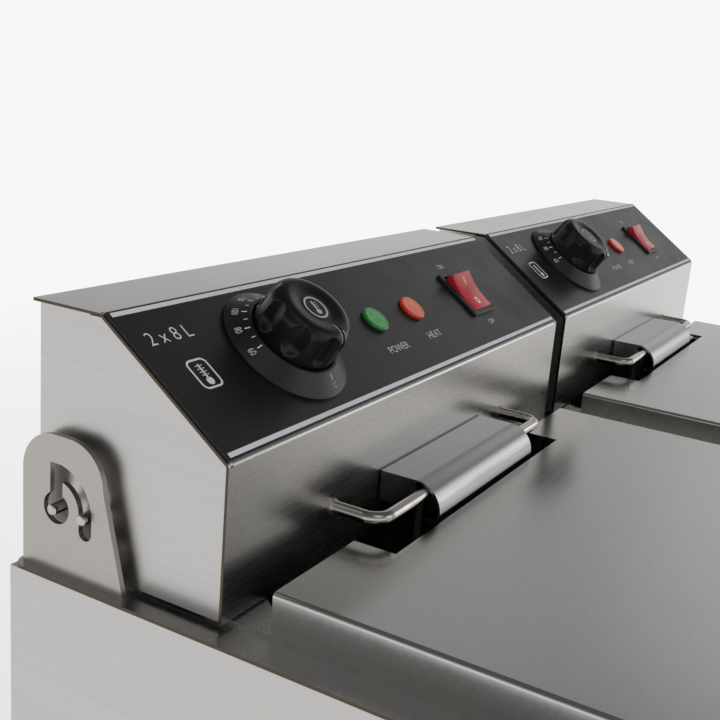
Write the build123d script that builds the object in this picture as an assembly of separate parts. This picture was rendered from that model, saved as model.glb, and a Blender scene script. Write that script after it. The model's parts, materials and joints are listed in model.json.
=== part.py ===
from build123d import *
import math
import os

# A double-tank countertop deep fryer.  Millimetres, +Z up, -Y is the front where the cook stands.
# The origin is the centre of the cabinet's footprint, on the surface that its feet stand on.
# Each half of the fryer is a "unit": a tank with its basket and lid, and the tilting control head
# behind it.  Unit pieces are drawn with X measured from the left end of their own control head.

# ---------------------------------------------------------------- driving dimensions
# cabinet
CABINET_WIDTH = 590.0
CABINET_DEPTH = 410.0
DECK_HEIGHT = 200.0            # top of the deck above the table
CABINET_SHEET = 1.2
CABINET_CORNER = 6.0
FOOT_RADIUS = 17.0
FOOT_HEIGHT = 18.0
FOOT_INSET = 34.0
VENT_COUNT = 9
VENT_LENGTH = 46.0
VENT_WIDTH = 5.0
VENT_PITCH = 13.0

# control head, outside of its bent cover
HEAD_WIDTH = 280.0
HEAD_GAP = 15.0                # between the two heads
HEAD_REAR_MARGIN = 3.0         # from the head's rear to the cabinet's rear
SLOPE_LENGTH = 64.4            # sloping panel, from its front fold to its top fold
SLOPE_ANGLE = 35.46
TOP_DEPTH = 29.5               # flat top behind the slope
FOLD_ABOVE_DECK = 55.0         # front fold of the slope
HEAD_SHEET = 1.0
BEND_RADIUS = 1.6
SIDE_INSET = 1.5               # side panels sit this far inside the cover's ends
SEAM = 0.8                     # gap between a side panel's edge and the cover
SIDE_UNDERCUT = 13.6           # rear part of the side panels ends this far above the deck
BASE_INSET = 4.5               # head base pan, in from the head's ends
BASE_DEPTH = 46.0
RELIEF_RADIUS = 0.9            # bend relief holes at the ends of the folds

# pivot pins and the slotted brackets that carry them
PIN_RADIUS = 2.0
PIN_REACH = 6.4                # beyond the head's end
PIN_FROM_REAR = 15.0           # rear pin, ahead of the head's rear
PIN_SPACING = 13.0
PIN_BELOW_FOLD = 31.2
BRACKET_SHEET = 2.0
BRACKET_GAP = 2.0              # between the head's end and the bracket plate
BRACKET_TOP_BELOW_FOLD = 5.6
BRACKET_CORNER = 14.5
BRACKET_FRONT_REACH = 20.7     # ahead of the rear pin, at the foot of the top corner
BRACKET_FOOT_REACH = 30.0      # ahead of the rear pin, at the deck
BRACKET_REAR_REACH = 15.5
BRACKET_FLANGE = 14.0
SLOT_CLEARANCE = 0.8           # around a pin
SLOT_DROP = 5.4                # front leg of the slot runs this far below the pins
KEYHOLE_RADIUS = 5.7
SCREW_RADIUS = 2.0
SCREW_HEAD_RADIUS = 3.8
SCREW_HEAD_HEIGHT = 2.0

# panel fittings, placed by X from the head's left end and S up the slope from the front fold
FASCIA_SHEET = 0.8
FASCIA_MARGIN = 0.7
DIAL_X = 65.9
DIAL_S = 33.2
SKIRT_RADIUS = 25.7
SKIRT_HEIGHT = 6.2
SKIRT_LIP = 1.2
KNOB_RADIUS = 16.9
KNOB_TOP_RADIUS = 16.3
KNOB_HEIGHT = 21.2             # above the fascia
KNOB_SHOULDER = 4.0
KNOB_DISH_DEPTH = 1.0
KNOB_DISH_RADIUS = 50.0        # of the sphere that hollows the top
KNOB_CLEARANCE = 0.5           # to the skirt's bore
KNOB_FLUTES = 8
FLUTE_RADIUS = 5.4
FLUTE_DEPTH = 1.6
POINTER_ANGLE = -86.0          # where the pointer stands at rest, from +X towards up the slope
FLUTE_FROM_POINTER = 22.5      # turn from the pointer to the nearest flute
SPINDLE_RADIUS = 3.0
SPINDLE_CLEARANCE = 0.05
LAMP_SPACING = 32.2
LAMPS_LEFT_OF_MIDDLE = 3.0     # of the space between the dial and the switch
LAMP_S = 32.4
LAMP_RADIUS = 6.3
LAMP_HEIGHT = 2.0
LAMP_BODY_RADIUS = 4.6
SWITCH_FROM_RIGHT = 61.8       # switch centre to the head's right end
SWITCH_S = 32.0
SWITCH_WIDTH = 24.8
SWITCH_LENGTH = 26.8
SWITCH_RIM = 2.4
SWITCH_HEIGHT = 1.5
ROCKER_AXIS_BELOW_RIM = 3.0
ROCKER_ANGLE = 11.0            # each side of level
ROCKER_CLEARANCE = 0.4

# element hood and basket hanger on the head's front
HOOD_WIDTH = 92.0
HOOD_OFFSET = 2.7              # middle of the hood, right of the head's middle
HOOD_TOP_BELOW_FOLD = 29.1
HOOD_DEPTH = 27.0
HOOD_DROP = 14.6
HOOD_BEND = 11.0
HOOD_LIP = 6.0
HOOD_CHEEK_DEPTH = 16.0
HOOD_CHEEK_DROP = 11.6
ROD_RADIUS = 2.5
ROD_SPAN = 150.2
ROD_OFFSET = -1.2              # middle of the rod, right of the head's middle
ROD_REACH = 19.5               # rod centre ahead of the head's face
ROD_BELOW_FOLD = 33.7
ROD_BEND = 6.5

# tank, strainer plate, basket and lid
TANK_SIDE_MARGIN = 20.0        # head's end to the tank's inside
TANK_LENGTH = 310.0            # inside
TANK_DEPTH = 165.0             # from the top of its rim
TANK_SHEET = 1.2
TANK_CORNER = 12.0
TANK_RIM = 14.0
TANK_BEHIND_FACE = 2.0         # rear wall of the tank, behind the head's face
TANK_HOLE_CLEARANCE = 0.8
ELEMENT_RADIUS = 4.0
ELEMENT_ABOVE_BOTTOM = 20.8
ELEMENT_REACH = 235.0          # ahead of the head's face
ELEMENT_BEND = 14.0
ARM_SPACING = 30.0
ARM_AHEAD_OF_FACE = 12.0
ARM_BELOW_FOLD = 36.2
ELEMENT_FLANGE_SHEET = 2.0
ELEMENT_FLANGE_DROP = 12.0     # below the arms, so that it seats on the head base's front wall
SENSOR_TUBE_RADIUS = 1.6
BULB_LENGTH = 80.0
BULB_RADIUS = 3.0
LIMIT_BULB_RADIUS = 2.5
SENSOR_INSET = 14.0            # from each end of the hood
STRAINER_SHEET = 1.2
STRAINER_GAP = 5.8             # plate above the element
STRAINER_SIDE_GAP = 6.0        # to the tank's walls
STRAINER_FRONT_GAP = 22.0
STRAINER_LEG_INSET = 22.0      # legs shorter than the plate, at each end
STRAINER_REAR_GAP = 40.0       # plate's rear edge to the head's face
STRAINER_HOLE_RADIUS = 3.5
BASKET_WALL = 1.5
BASKET_SIDE_GAP = 9.0          # to the tank's side walls
BASKET_FRONT_GAP = 24.0
BASKET_REAR_GAP = 39.0         # to the head's face
BASKET_BELOW_RIM = 22.9        # top edge of the basket's wall to the tank's rim
BASKET_SEAT_GAP = 0.3
BASKET_CORNER = 10.0
RIM_WIRE_RADIUS = 2.5
HOOK_WIRE_RADIUS = 1.75
HANDLE_WIRE_RADIUS = 2.5
HANDLE_SPACING = 22.0
HANDLE_ANGLE = 30.0
HANDLE_BEND_BELOW_RIM = 3.5    # where the handle wires turn forward, to the tank's rim
GRIP_LENGTH = 112.0
GRIP_WIDTH = 34.0
GRIP_THICKNESS = 17.0
LID_OVERLAP = 10.0             # lid beyond the tank's inside, each side
LID_SHEET = 1.2
LID_BELOW_FOLD = 41.7          # top of the lid
LID_REAR_GAP = 12.0            # rear edge to the head's face
LID_FRONT_MARGIN = 5.0         # inside the tank rim's front edge
LID_NOTCH_CLEARANCE = 1.7
LID_HANDLE_WIRE_RADIUS = 3.5
LID_HANDLE_SPAN = 110.0
LID_HANDLE_HEIGHT = 34.0
GLAND_RADIUS = 9.0
GLAND_BORE_RADIUS = 4.5
GLAND_LENGTH = 14.0
GLAND_ABOVE_FOLD = 16.0
GLAND_FROM_RIGHT = 42.0

# ---------------------------------------------------------------- derived places
half_width = CABINET_WIDTH / 2
front_y = -CABINET_DEPTH / 2
back_y = CABINET_DEPTH / 2
head_rear_y = back_y - HEAD_REAR_MARGIN
slope_run = SLOPE_LENGTH * math.cos(math.radians(SLOPE_ANGLE))
slope_rise = SLOPE_LENGTH * math.sin(math.radians(SLOPE_ANGLE))
face_y = head_rear_y - TOP_DEPTH - slope_run
fold_z = DECK_HEIGHT + FOLD_ABOVE_DECK
head_top_z = fold_z + slope_rise
pivot_y = head_rear_y - PIN_FROM_REAR
pivot_z = fold_z - PIN_BELOW_FOLD
rim_top_z = DECK_HEIGHT + TANK_SHEET
cover_bottom_z = rim_top_z + SEAM
tank_rear_y = face_y + TANK_BEHIND_FACE
tank_front_y = tank_rear_y - TANK_LENGTH
tank_left_x = TANK_SIDE_MARGIN
tank_right_x = HEAD_WIDTH - TANK_SIDE_MARGIN
tank_bottom_z = rim_top_z - TANK_DEPTH
centre_x = HEAD_WIDTH / 2
switch_x = HEAD_WIDTH - SWITCH_FROM_RIGHT
lamps_middle_x = (DIAL_X + SKIRT_RADIUS + switch_x - SWITCH_WIDTH / 2) / 2 - LAMPS_LEFT_OF_MIDDLE
lamp_x = (lamps_middle_x - LAMP_SPACING / 2, lamps_middle_x + LAMP_SPACING / 2)
hood_x = (centre_x + HOOD_OFFSET - HOOD_WIDTH / 2, centre_x + HOOD_OFFSET + HOOD_WIDTH / 2)
rod_x = (centre_x + ROD_OFFSET - ROD_SPAN / 2, centre_x + ROD_OFFSET + ROD_SPAN / 2)
rod_y = face_y - ROD_REACH
rod_z = fold_z - ROD_BELOW_FOLD
hood_top_z = fold_z - HOOD_TOP_BELOW_FOLD
element_z = tank_bottom_z + ELEMENT_ABOVE_BOTTOM
element_front_y = face_y - ELEMENT_REACH
arm_y = face_y - ARM_AHEAD_OF_FACE
arm_z = fold_z - ARM_BELOW_FOLD
strainer_z = element_z + ELEMENT_RADIUS + STRAINER_GAP
basket_z = strainer_z + STRAINER_SHEET + BASKET_SEAT_GAP
basket_top_z = rim_top_z - BASKET_BELOW_RIM
lid_top_z = fold_z - LID_BELOW_FOLD
lid_left_x = tank_left_x - LID_OVERLAP
lid_right_x = tank_right_x + LID_OVERLAP
lid_front_y = tank_front_y - TANK_RIM + LID_FRONT_MARGIN
lid_rear_y = face_y - LID_REAR_GAP

# local frame of the sloping panel: x to the right, y up the slope, z out of the panel
panel = Plane(
    origin=(0, face_y, fold_z),
    x_dir=(1, 0, 0),
    z_dir=(0, -math.sin(math.radians(SLOPE_ANGLE)), math.cos(math.radians(SLOPE_ANGLE))),
)

units = {"left": -HEAD_GAP / 2 - HEAD_WIDTH, "right": HEAD_GAP / 2}


# ---------------------------------------------------------------- helpers
def block(x0, x1, y0, y1, z0, z1):
    """Box between two corners."""
    return Pos((x0 + x1) / 2, (y0 + y1) / 2, (z0 + z1) / 2) * Box(x1 - x0, y1 - y0, z1 - z0)


def rounded_block(x0, x1, y0, y1, z0, z1, radius):
    """Box whose upright edges are rounded."""
    outline = RectangleRounded(x1 - x0, y1 - y0, radius)
    return Pos((x0 + x1) / 2, (y0 + y1) / 2, z0) * extrude(outline, amount=z1 - z0)


def rod_between(start, end, radius):
    """Round bar from one point to another."""
    start, end = Vector(*start), Vector(*end)
    frame = Plane(origin=start, z_dir=end - start)
    return extrude(frame * Circle(radius), amount=(end - start).length)


def wire_rod(points, bend, radius, close=False):
    """Round bar that follows straight runs joined by bends."""
    path = FilletPolyline(*points, radius=bend, close=close)
    first = path.edges()[0]
    section = Plane(origin=first @ 0, z_dir=first % 0) * Circle(radius)
    return sweep(section, path=path, transition=Transition.RIGHT)


def bent_sheet(points, bend, sheet, x0, x1, side):
    """Sheet folded along points in the YZ plane, from x0 to x1."""
    path = FilletPolyline(*points, radius=bend)
    strip = make_face(Wire(path.edges()).offset_2d(sheet, kind=Kind.ARC, side=side, closed=True).edges())
    return Pos(x0, 0, 0) * extrude(Plane.YZ * strip, amount=x1 - x0)


def side_sheet(points, x0, x1):
    """Flat sheet with an outline given as (y, z) points, from x0 to x1."""
    return Pos(x0, 0, 0) * extrude(Plane.YZ * make_face(Polyline(*points, close=True)), amount=x1 - x0)


def on_panel(shape, x, s):
    """Place a shape drawn about its own axis on the sloping panel."""
    return panel.location * Pos(x, s, 0) * shape


# ---------------------------------------------------------------- cabinet
def cabinet_shell():
    top = DECK_HEIGHT - CABINET_SHEET
    rear = back_y - CABINET_SHEET
    outline = RectangleRounded(CABINET_WIDTH, CABINET_DEPTH, CABINET_CORNER)
    hollow = RectangleRounded(
        CABINET_WIDTH - 2 * CABINET_SHEET,
        CABINET_DEPTH - 2 * CABINET_SHEET,
        CABINET_CORNER - CABINET_SHEET,
    )
    wall = Pos(0, 0, FOOT_HEIGHT) * extrude(outline - hollow, amount=top - FOOT_HEIGHT)
    return wall - block(-half_width, half_width, rear - CABINET_CORNER, back_y, 0, DECK_HEIGHT)


def cabinet_back():
    top = DECK_HEIGHT - CABINET_SHEET
    rear = back_y - CABINET_SHEET
    inner = half_width - CABINET_SHEET
    panel_sheet = block(-half_width, half_width, rear, back_y, FOOT_HEIGHT, top)
    flange_front = rear - CABINET_CORNER - 14
    left = block(-inner, -inner + CABINET_SHEET, flange_front, rear, FOOT_HEIGHT + 2 * CABINET_SHEET, top)
    right = block(inner - CABINET_SHEET, inner, flange_front, rear, FOOT_HEIGHT + 2 * CABINET_SHEET, top)
    edge_left = block(-half_width, -inner, rear - CABINET_CORNER, rear, FOOT_HEIGHT, top)
    edge_right = block(inner, half_width, rear - CABINET_CORNER, rear, FOOT_HEIGHT, top)
    sheet = panel_sheet + left + right + edge_left + edge_right
    slot_outline = SlotOverall(VENT_LENGTH, VENT_WIDTH, rotation=90)
    slot = extrude(Plane.XZ * slot_outline, amount=4 * CABINET_SHEET, both=True)
    vent_z = (FOOT_HEIGHT + DECK_HEIGHT) / 2
    for unit_x in units.values():
        for index in range(VENT_COUNT):
            vent_x = unit_x + centre_x + (index - (VENT_COUNT - 1) / 2) * VENT_PITCH
            sheet -= Pos(vent_x, back_y, vent_z) * slot
    return sheet


def cabinet_base():
    inner_x = half_width - CABINET_SHEET
    inner_front = front_y + CABINET_SHEET
    inner_rear = back_y - CABINET_SHEET
    radius = CABINET_CORNER - CABINET_SHEET
    lip_top = FOOT_HEIGHT + 14
    pan = rounded_block(-inner_x, inner_x, inner_front, inner_rear, FOOT_HEIGHT, lip_top, radius)
    well = rounded_block(
        -inner_x + CABINET_SHEET,
        inner_x - CABINET_SHEET,
        inner_front + CABINET_SHEET,
        inner_rear - CABINET_SHEET,
        FOOT_HEIGHT + CABINET_SHEET,
        lip_top + 1,
        radius - CABINET_SHEET,
    )
    rear_relief = block(
        -inner_x,
        inner_x,
        inner_rear - CABINET_CORNER - 15,
        inner_rear,
        FOOT_HEIGHT + CABINET_SHEET,
        lip_top + 1,
    )
    return pan - well - rear_relief


def cabinet_feet():
    feet = []
    for x in (-half_width + FOOT_INSET, half_width - FOOT_INSET):
        for y in (front_y + FOOT_INSET, back_y - FOOT_INSET):
            foot = Pos(x, y, FOOT_HEIGHT / 2) * Cone(FOOT_RADIUS - 3, FOOT_RADIUS, FOOT_HEIGHT)
            feet.append(fillet(foot.edges().group_by(Axis.Z)[0], 1.5))
    return Compound(feet)


def top_deck():
    sheet = rounded_block(
        -half_width, half_width, front_y, back_y, DECK_HEIGHT - CABINET_SHEET, DECK_HEIGHT, CABINET_CORNER
    )
    reach = TANK_SHEET + TANK_HOLE_CLEARANCE
    for unit_x in units.values():
        sheet -= rounded_block(
            unit_x + tank_left_x - reach,
            unit_x + tank_right_x + reach,
            tank_front_y - reach,
            tank_rear_y + reach,
            DECK_HEIGHT - 2 * CABINET_SHEET,
            DECK_HEIGHT + CABINET_SHEET,
            TANK_CORNER + reach,
        )
    return sheet


# ---------------------------------------------------------------- brackets
def bracket_screw_places():
    """Y of the two screws in a bracket's foot flange."""
    return (pivot_y - 9, pivot_y + 9)


def bracket():
    """Slotted plate at the left end of a head, with its foot flange turned in under the head."""
    x0 = -BRACKET_GAP - BRACKET_SHEET
    x1 = -BRACKET_GAP
    top = fold_z - BRACKET_TOP_BELOW_FOLD
    corner_z = top - BRACKET_CORNER
    front_top = pivot_y - BRACKET_FRONT_REACH
    front_foot = pivot_y - BRACKET_FOOT_REACH
    rear = pivot_y + BRACKET_REAR_REACH
    corner_x = BRACKET_CORNER * math.sqrt(0.5)
    outline = Polyline((front_foot, DECK_HEIGHT), (rear, DECK_HEIGHT), (rear, corner_z))
    outline += ThreePointArc(
        (rear, corner_z),
        (rear - BRACKET_CORNER + corner_x, corner_z + corner_x),
        (rear - BRACKET_CORNER, top),
    )
    outline += Line((rear - BRACKET_CORNER, top), (front_top + BRACKET_CORNER, top))
    outline += ThreePointArc(
        (front_top + BRACKET_CORNER, top),
        (front_top + BRACKET_CORNER - corner_x, corner_z + corner_x),
        (front_top, corner_z),
    )
    outline += Line((front_top, corner_z), (front_foot, DECK_HEIGHT))
    plate = make_face(outline)

    half_slot = PIN_RADIUS + SLOT_CLEARANCE
    ring = Circle(PIN_SPACING + half_slot) - Circle(PIN_SPACING - half_slot)
    quarter = ring & (Pos(-20, 20) * Rectangle(40, 40))
    front_leg = Pos(-PIN_SPACING, -SLOT_DROP / 2) * Rectangle(2 * half_slot, SLOT_DROP)
    front_end = Pos(-PIN_SPACING, -SLOT_DROP) * Circle(half_slot)
    neck = Pos(0, (PIN_SPACING + half_slot) / 2) * Rectangle(2 * half_slot, PIN_SPACING + half_slot)
    keyhole = Circle(KEYHOLE_RADIUS)
    slot = quarter + front_leg + front_end + neck + keyhole
    plate -= Pos(pivot_y, pivot_z) * slot

    body = Pos(x0, 0, 0) * extrude(Plane.YZ * plate, amount=BRACKET_SHEET)
    flange = block(
        x1, x1 + BRACKET_FLANGE, pivot_y - 15, rear, DECK_HEIGHT, DECK_HEIGHT + BRACKET_SHEET
    )
    for y in bracket_screw_places():
        hole = Cylinder(SCREW_RADIUS + 0.1, 3 * BRACKET_SHEET)
        flange -= Pos(x1 + BRACKET_FLANGE / 2, y, DECK_HEIGHT) * hole
    return body + flange


def bracket_pair(unit_x):
    left = bracket()
    right = mirror(bracket(), about=Plane.YZ.offset(centre_x))
    return Compound([Pos(unit_x, 0, 0) * left, Pos(unit_x, 0, 0) * right])


def bracket_screws():
    """Pan-head screws that hold the four bracket feet down."""
    seat = DECK_HEIGHT + BRACKET_SHEET
    middle = -BRACKET_GAP + BRACKET_FLANGE / 2
    screws = []
    for unit_x in units.values():
        for x in (unit_x + middle, unit_x + HEAD_WIDTH - middle):
            for y in bracket_screw_places():
                shank = Pos(x, y, seat - BRACKET_SHEET / 2) * Cylinder(SCREW_RADIUS, BRACKET_SHEET)
                head = Cylinder(SCREW_HEAD_RADIUS, SCREW_HEAD_HEIGHT)
                head = fillet(head.edges().group_by(Axis.Z)[-1], 0.9)
                head = Pos(x, y, seat + SCREW_HEAD_HEIGHT / 2) * head
                cross = Pos(x, y, seat + SCREW_HEAD_HEIGHT) * (Box(4, 0.9, 1.6) + Box(0.9, 4, 1.6))
                screws.append(shank + head - cross)
    return Compound(screws)


# ---------------------------------------------------------------- tank, strainer, basket, lid
def oil_tank():
    outer = rounded_block(
        tank_left_x - TANK_SHEET,
        tank_right_x + TANK_SHEET,
        tank_front_y - TANK_SHEET,
        tank_rear_y + TANK_SHEET,
        tank_bottom_z - TANK_SHEET,
        rim_top_z,
        TANK_CORNER + TANK_SHEET,
    )
    outer = fillet(outer.edges().group_by(Axis.Z)[0], TANK_CORNER / 2 + TANK_SHEET)
    inner = rounded_block(
        tank_left_x, tank_right_x, tank_front_y, tank_rear_y, tank_bottom_z, rim_top_z + 1, TANK_CORNER
    )
    inner = fillet(inner.edges().group_by(Axis.Z)[0], TANK_CORNER / 2)
    rim = rounded_block(
        tank_left_x - TANK_RIM,
        tank_right_x + TANK_RIM,
        tank_front_y - TANK_RIM,
        tank_rear_y + TANK_RIM,
        rim_top_z - TANK_SHEET,
        rim_top_z,
        CABINET_CORNER,
    )
    return outer + rim - inner


def strainer_plate():
    """Perforated plate over the element, on two turned-down side legs."""
    x0 = tank_left_x + STRAINER_SIDE_GAP
    x1 = tank_right_x - STRAINER_SIDE_GAP
    y0 = tank_front_y + STRAINER_FRONT_GAP
    y1 = face_y - STRAINER_REAR_GAP
    leg_bottom = tank_bottom_z + 0.3
    leg_front = y0 + STRAINER_LEG_INSET
    leg_rear = y1 - STRAINER_LEG_INSET
    plate = Rectangle(x1 - x0, y1 - y0)
    columns = int((x1 - x0 - 30) // 15)
    rows = int((y1 - y0 - 30) // 15)
    plate -= GridLocations(15, 15, columns, rows) * Circle(STRAINER_HOLE_RADIUS)
    sheet = Pos((x0 + x1) / 2, (y0 + y1) / 2, strainer_z) * extrude(plate, amount=STRAINER_SHEET)
    left = block(x0, x0 + STRAINER_SHEET, leg_front, leg_rear, leg_bottom + TANK_CORNER / 2, strainer_z)
    right = block(x1 - STRAINER_SHEET, x1, leg_front, leg_rear, leg_bottom + TANK_CORNER / 2, strainer_z)
    foot_in = TANK_CORNER / 2
    left_foot = side_foot(x0, x0 + foot_in, leg_front, leg_rear, leg_bottom)
    right_foot = side_foot(x1, x1 - foot_in, leg_front, leg_rear, leg_bottom)
    return sheet + left + right + left_foot + right_foot


def side_foot(x_outer, x_inner, y0, y1, z0):
    """Sloped toe that brings a strainer leg in past the tank's bottom radius."""
    toward = STRAINER_SHEET if x_inner > x_outer else -STRAINER_SHEET
    rise = TANK_CORNER / 2
    points = [
        (x_outer, z0 + rise + STRAINER_SHEET),
        (x_outer + toward, z0 + rise + STRAINER_SHEET),
        (x_inner + toward, z0),
        (x_inner, z0),
        (x_outer, z0 + rise),
    ]
    outline = Plane.XZ * make_face(Polyline(*points, close=True))
    return Pos(0, y1, 0) * extrude(outline, amount=y1 - y0)


def basket_limits():
    x0 = tank_left_x + BASKET_SIDE_GAP
    x1 = tank_right_x - BASKET_SIDE_GAP
    y0 = tank_front_y + BASKET_FRONT_GAP
    y1 = face_y - BASKET_REAR_GAP
    return x0, x1, y0, y1


def basket():
    """Open-topped mesh basket drawn as a thin wall, with its rim wire and rear hanging hooks."""
    x0, x1, y0, y1 = basket_limits()
    outer = rounded_block(x0, x1, y0, y1, basket_z, basket_top_z, BASKET_CORNER)
    inner = rounded_block(
        x0 + BASKET_WALL,
        x1 - BASKET_WALL,
        y0 + BASKET_WALL,
        y1 - BASKET_WALL,
        basket_z + BASKET_WALL,
        basket_top_z + 1,
        BASKET_CORNER - BASKET_WALL,
    )
    rim_path = [
        (x0, y0, basket_top_z),
        (x1, y0, basket_top_z),
        (x1, y1, basket_top_z),
        (x0, y1, basket_top_z),
    ]
    rim = wire_rod(rim_path, BASKET_CORNER, RIM_WIRE_RADIUS, close=True)
    shell = outer - inner + rim
    for hook_x in hook_places():
        shell += basket_hook(hook_x, y1)
    return shell


def hook_places():
    """X of the two rear hooks, where the hanger rod shows beside the hood."""
    left = (rod_x[0] + ROD_BEND + hood_x[0]) / 2
    right = hood_x[1] + HOOK_WIRE_RADIUS + 1.5
    return (left, right)


def basket_hook(x, rear):
    reach = rod_y - ROD_RADIUS - 1.5 - HOOK_WIRE_RADIUS
    top = basket_top_z + 12
    points = [
        (x, rear, basket_top_z - 30),
        (x, rear, top),
        (x, reach, top),
        (x, reach, top - 13),
    ]
    return wire_rod(points, 2.5, HOOK_WIRE_RADIUS)


def handle_axis_points():
    """Side view (y, z) of a handle wire, from the basket's front wall to inside the grip."""
    _, _, y0, _ = basket_limits()
    y = y0 - RIM_WIRE_RADIUS - HANDLE_WIRE_RADIUS
    bend_z = rim_top_z - HANDLE_BEND_BELOW_RIM
    slope = math.tan(math.radians(HANDLE_ANGLE))
    end_y = front_y - 32
    return [(y, basket_z + 30), (y, bend_z), (end_y, bend_z + (y - end_y) * slope)]


def basket_handle():
    """Bent wire loop up the basket's front wall, over the tank rim and into the grip."""
    low, bend, end = handle_axis_points()
    left = centre_x - HANDLE_SPACING / 2
    right = centre_x + HANDLE_SPACING / 2
    points = [
        (left, end[0], end[1]),
        (left, bend[0], bend[1]),
        (left, low[0], low[1]),
        (right, low[0], low[1]),
        (right, bend[0], bend[1]),
        (right, end[0], end[1]),
    ]
    return wire_rod(points, 7.0, HANDLE_WIRE_RADIUS)


def basket_grip():
    """Moulded grip on the ends of the handle wires."""
    _, bend, end = handle_axis_points()
    angle = math.radians(HANDLE_ANGLE)
    direction = Vector(0, -math.cos(angle), math.sin(angle))
    start = Vector(centre_x, end[0], end[1]) - direction * 26
    frame = Plane(origin=start, x_dir=(1, 0, 0), z_dir=direction)
    grip = extrude(frame * SlotOverall(GRIP_WIDTH, GRIP_THICKNESS), amount=GRIP_LENGTH)
    grip = fillet(grip.faces().sort_by(Axis.Y)[0].edges(), 6)
    for offset in (-HANDLE_SPACING / 2, HANDLE_SPACING / 2):
        socket = extrude(frame * Pos(offset, 0) * Circle(HANDLE_WIRE_RADIUS + 0.02), amount=26.5)
        grip -= socket
    return grip


def handle_notch_rear(underside_z):
    """Y where the rising handle wires come near the lid's underside."""
    _, bend, _ = handle_axis_points()
    angle = math.radians(HANDLE_ANGLE)
    rise = underside_z - LID_NOTCH_CLEARANCE - HANDLE_WIRE_RADIUS / math.cos(angle) - bend[1]
    return bend[0] - rise / math.tan(angle)


def lid():
    """Inverted tray that stands on the tank's rim, notched for the hood, the rod and the handle."""
    flange_bottom = rim_top_z
    tray = block(lid_left_x, lid_right_x, lid_front_y, lid_rear_y, flange_bottom, lid_top_z)
    top_edges = tray.edges().group_by(Axis.Z)[-1].sort_by(Axis.Y)[:3]
    tray = fillet(top_edges, BEND_RADIUS)
    tray -= block(
        lid_left_x + LID_SHEET,
        lid_right_x - LID_SHEET,
        lid_front_y + LID_SHEET,
        lid_rear_y + 1,
        flange_bottom - 1,
        lid_top_z - LID_SHEET,
    )
    rear_notch = block(
        rod_x[0] - ROD_RADIUS - LID_NOTCH_CLEARANCE,
        rod_x[1] + ROD_RADIUS + LID_NOTCH_CLEARANCE,
        min(face_y - HOOD_DEPTH, rod_y - ROD_RADIUS) - LID_NOTCH_CLEARANCE,
        face_y,
        flange_bottom,
        lid_top_z + 1,
    )
    half_handle = HANDLE_SPACING / 2 + HANDLE_WIRE_RADIUS + 2 * LID_NOTCH_CLEARANCE
    handle_notch = block(
        centre_x - half_handle,
        centre_x + half_handle,
        lid_front_y - 1,
        handle_notch_rear(lid_top_z - LID_SHEET),
        flange_bottom - 1,
        lid_top_z + 1,
    )
    return tray - rear_notch - handle_notch


def lid_handle():
    """Bent bar handle with two round feet."""
    y = (lid_front_y + lid_rear_y) / 2
    left = centre_x - LID_HANDLE_SPAN / 2
    right = centre_x + LID_HANDLE_SPAN / 2
    top = lid_top_z + LID_HANDLE_HEIGHT
    points = [(left, y, lid_top_z), (left, y, top), (right, y, top), (right, y, lid_top_z)]
    bar = wire_rod(points, 12.0, LID_HANDLE_WIRE_RADIUS)
    for x in (left, right):
        bar += Pos(x, y, lid_top_z + 1) * Cylinder(2 * LID_HANDLE_WIRE_RADIUS, 2)
    return bar


# ---------------------------------------------------------------- control head
def cover_points():
    """Outside of the bent cover in side view, from the front's lower edge to the top's rear edge."""
    return [
        (face_y, cover_bottom_z),
        (face_y, fold_z),
        (face_y + slope_run, head_top_z),
        (head_rear_y, head_top_z),
    ]


def element_opening():
    """Hole in the face, under the hood, for the element's arms and the sensor tubes."""
    return block(
        hood_x[0] + 8, hood_x[1] - 8, face_y - 1, face_y + 2, arm_z - ELEMENT_RADIUS - 3, hood_top_z - 1.5
    )


def head_cover():
    cover = bent_sheet(cover_points(), BEND_RADIUS, HEAD_SHEET, 0, HEAD_WIDTH, Side.RIGHT)
    cover -= element_opening()
    for x in rod_x:
        cover -= rod_between((x, face_y - 1, rod_z), (x, face_y + 3, rod_z), ROD_RADIUS + 0.1)
    for y, z in cover_points()[1:3]:
        for x in (SIDE_INSET, HEAD_WIDTH - SIDE_INSET):
            cover -= Pos(x, y, z) * Sphere(RELIEF_RADIUS)
    cover -= panel_holes()
    return cover


def panel_holes():
    """Holes through the slope for the thermostat bush, the lamps and the switch."""
    holes = on_panel(Cylinder(5.2, 8), DIAL_X, DIAL_S)
    for x in lamp_x:
        holes += on_panel(Cylinder(LAMP_BODY_RADIUS + 0.1, 8), x, LAMP_S)
    opening = Box(SWITCH_WIDTH - 2 * SWITCH_RIM + 1.2, SWITCH_LENGTH - 2 * SWITCH_RIM + 1.2, 8)
    return holes + on_panel(opening, switch_x, SWITCH_S)


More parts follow.
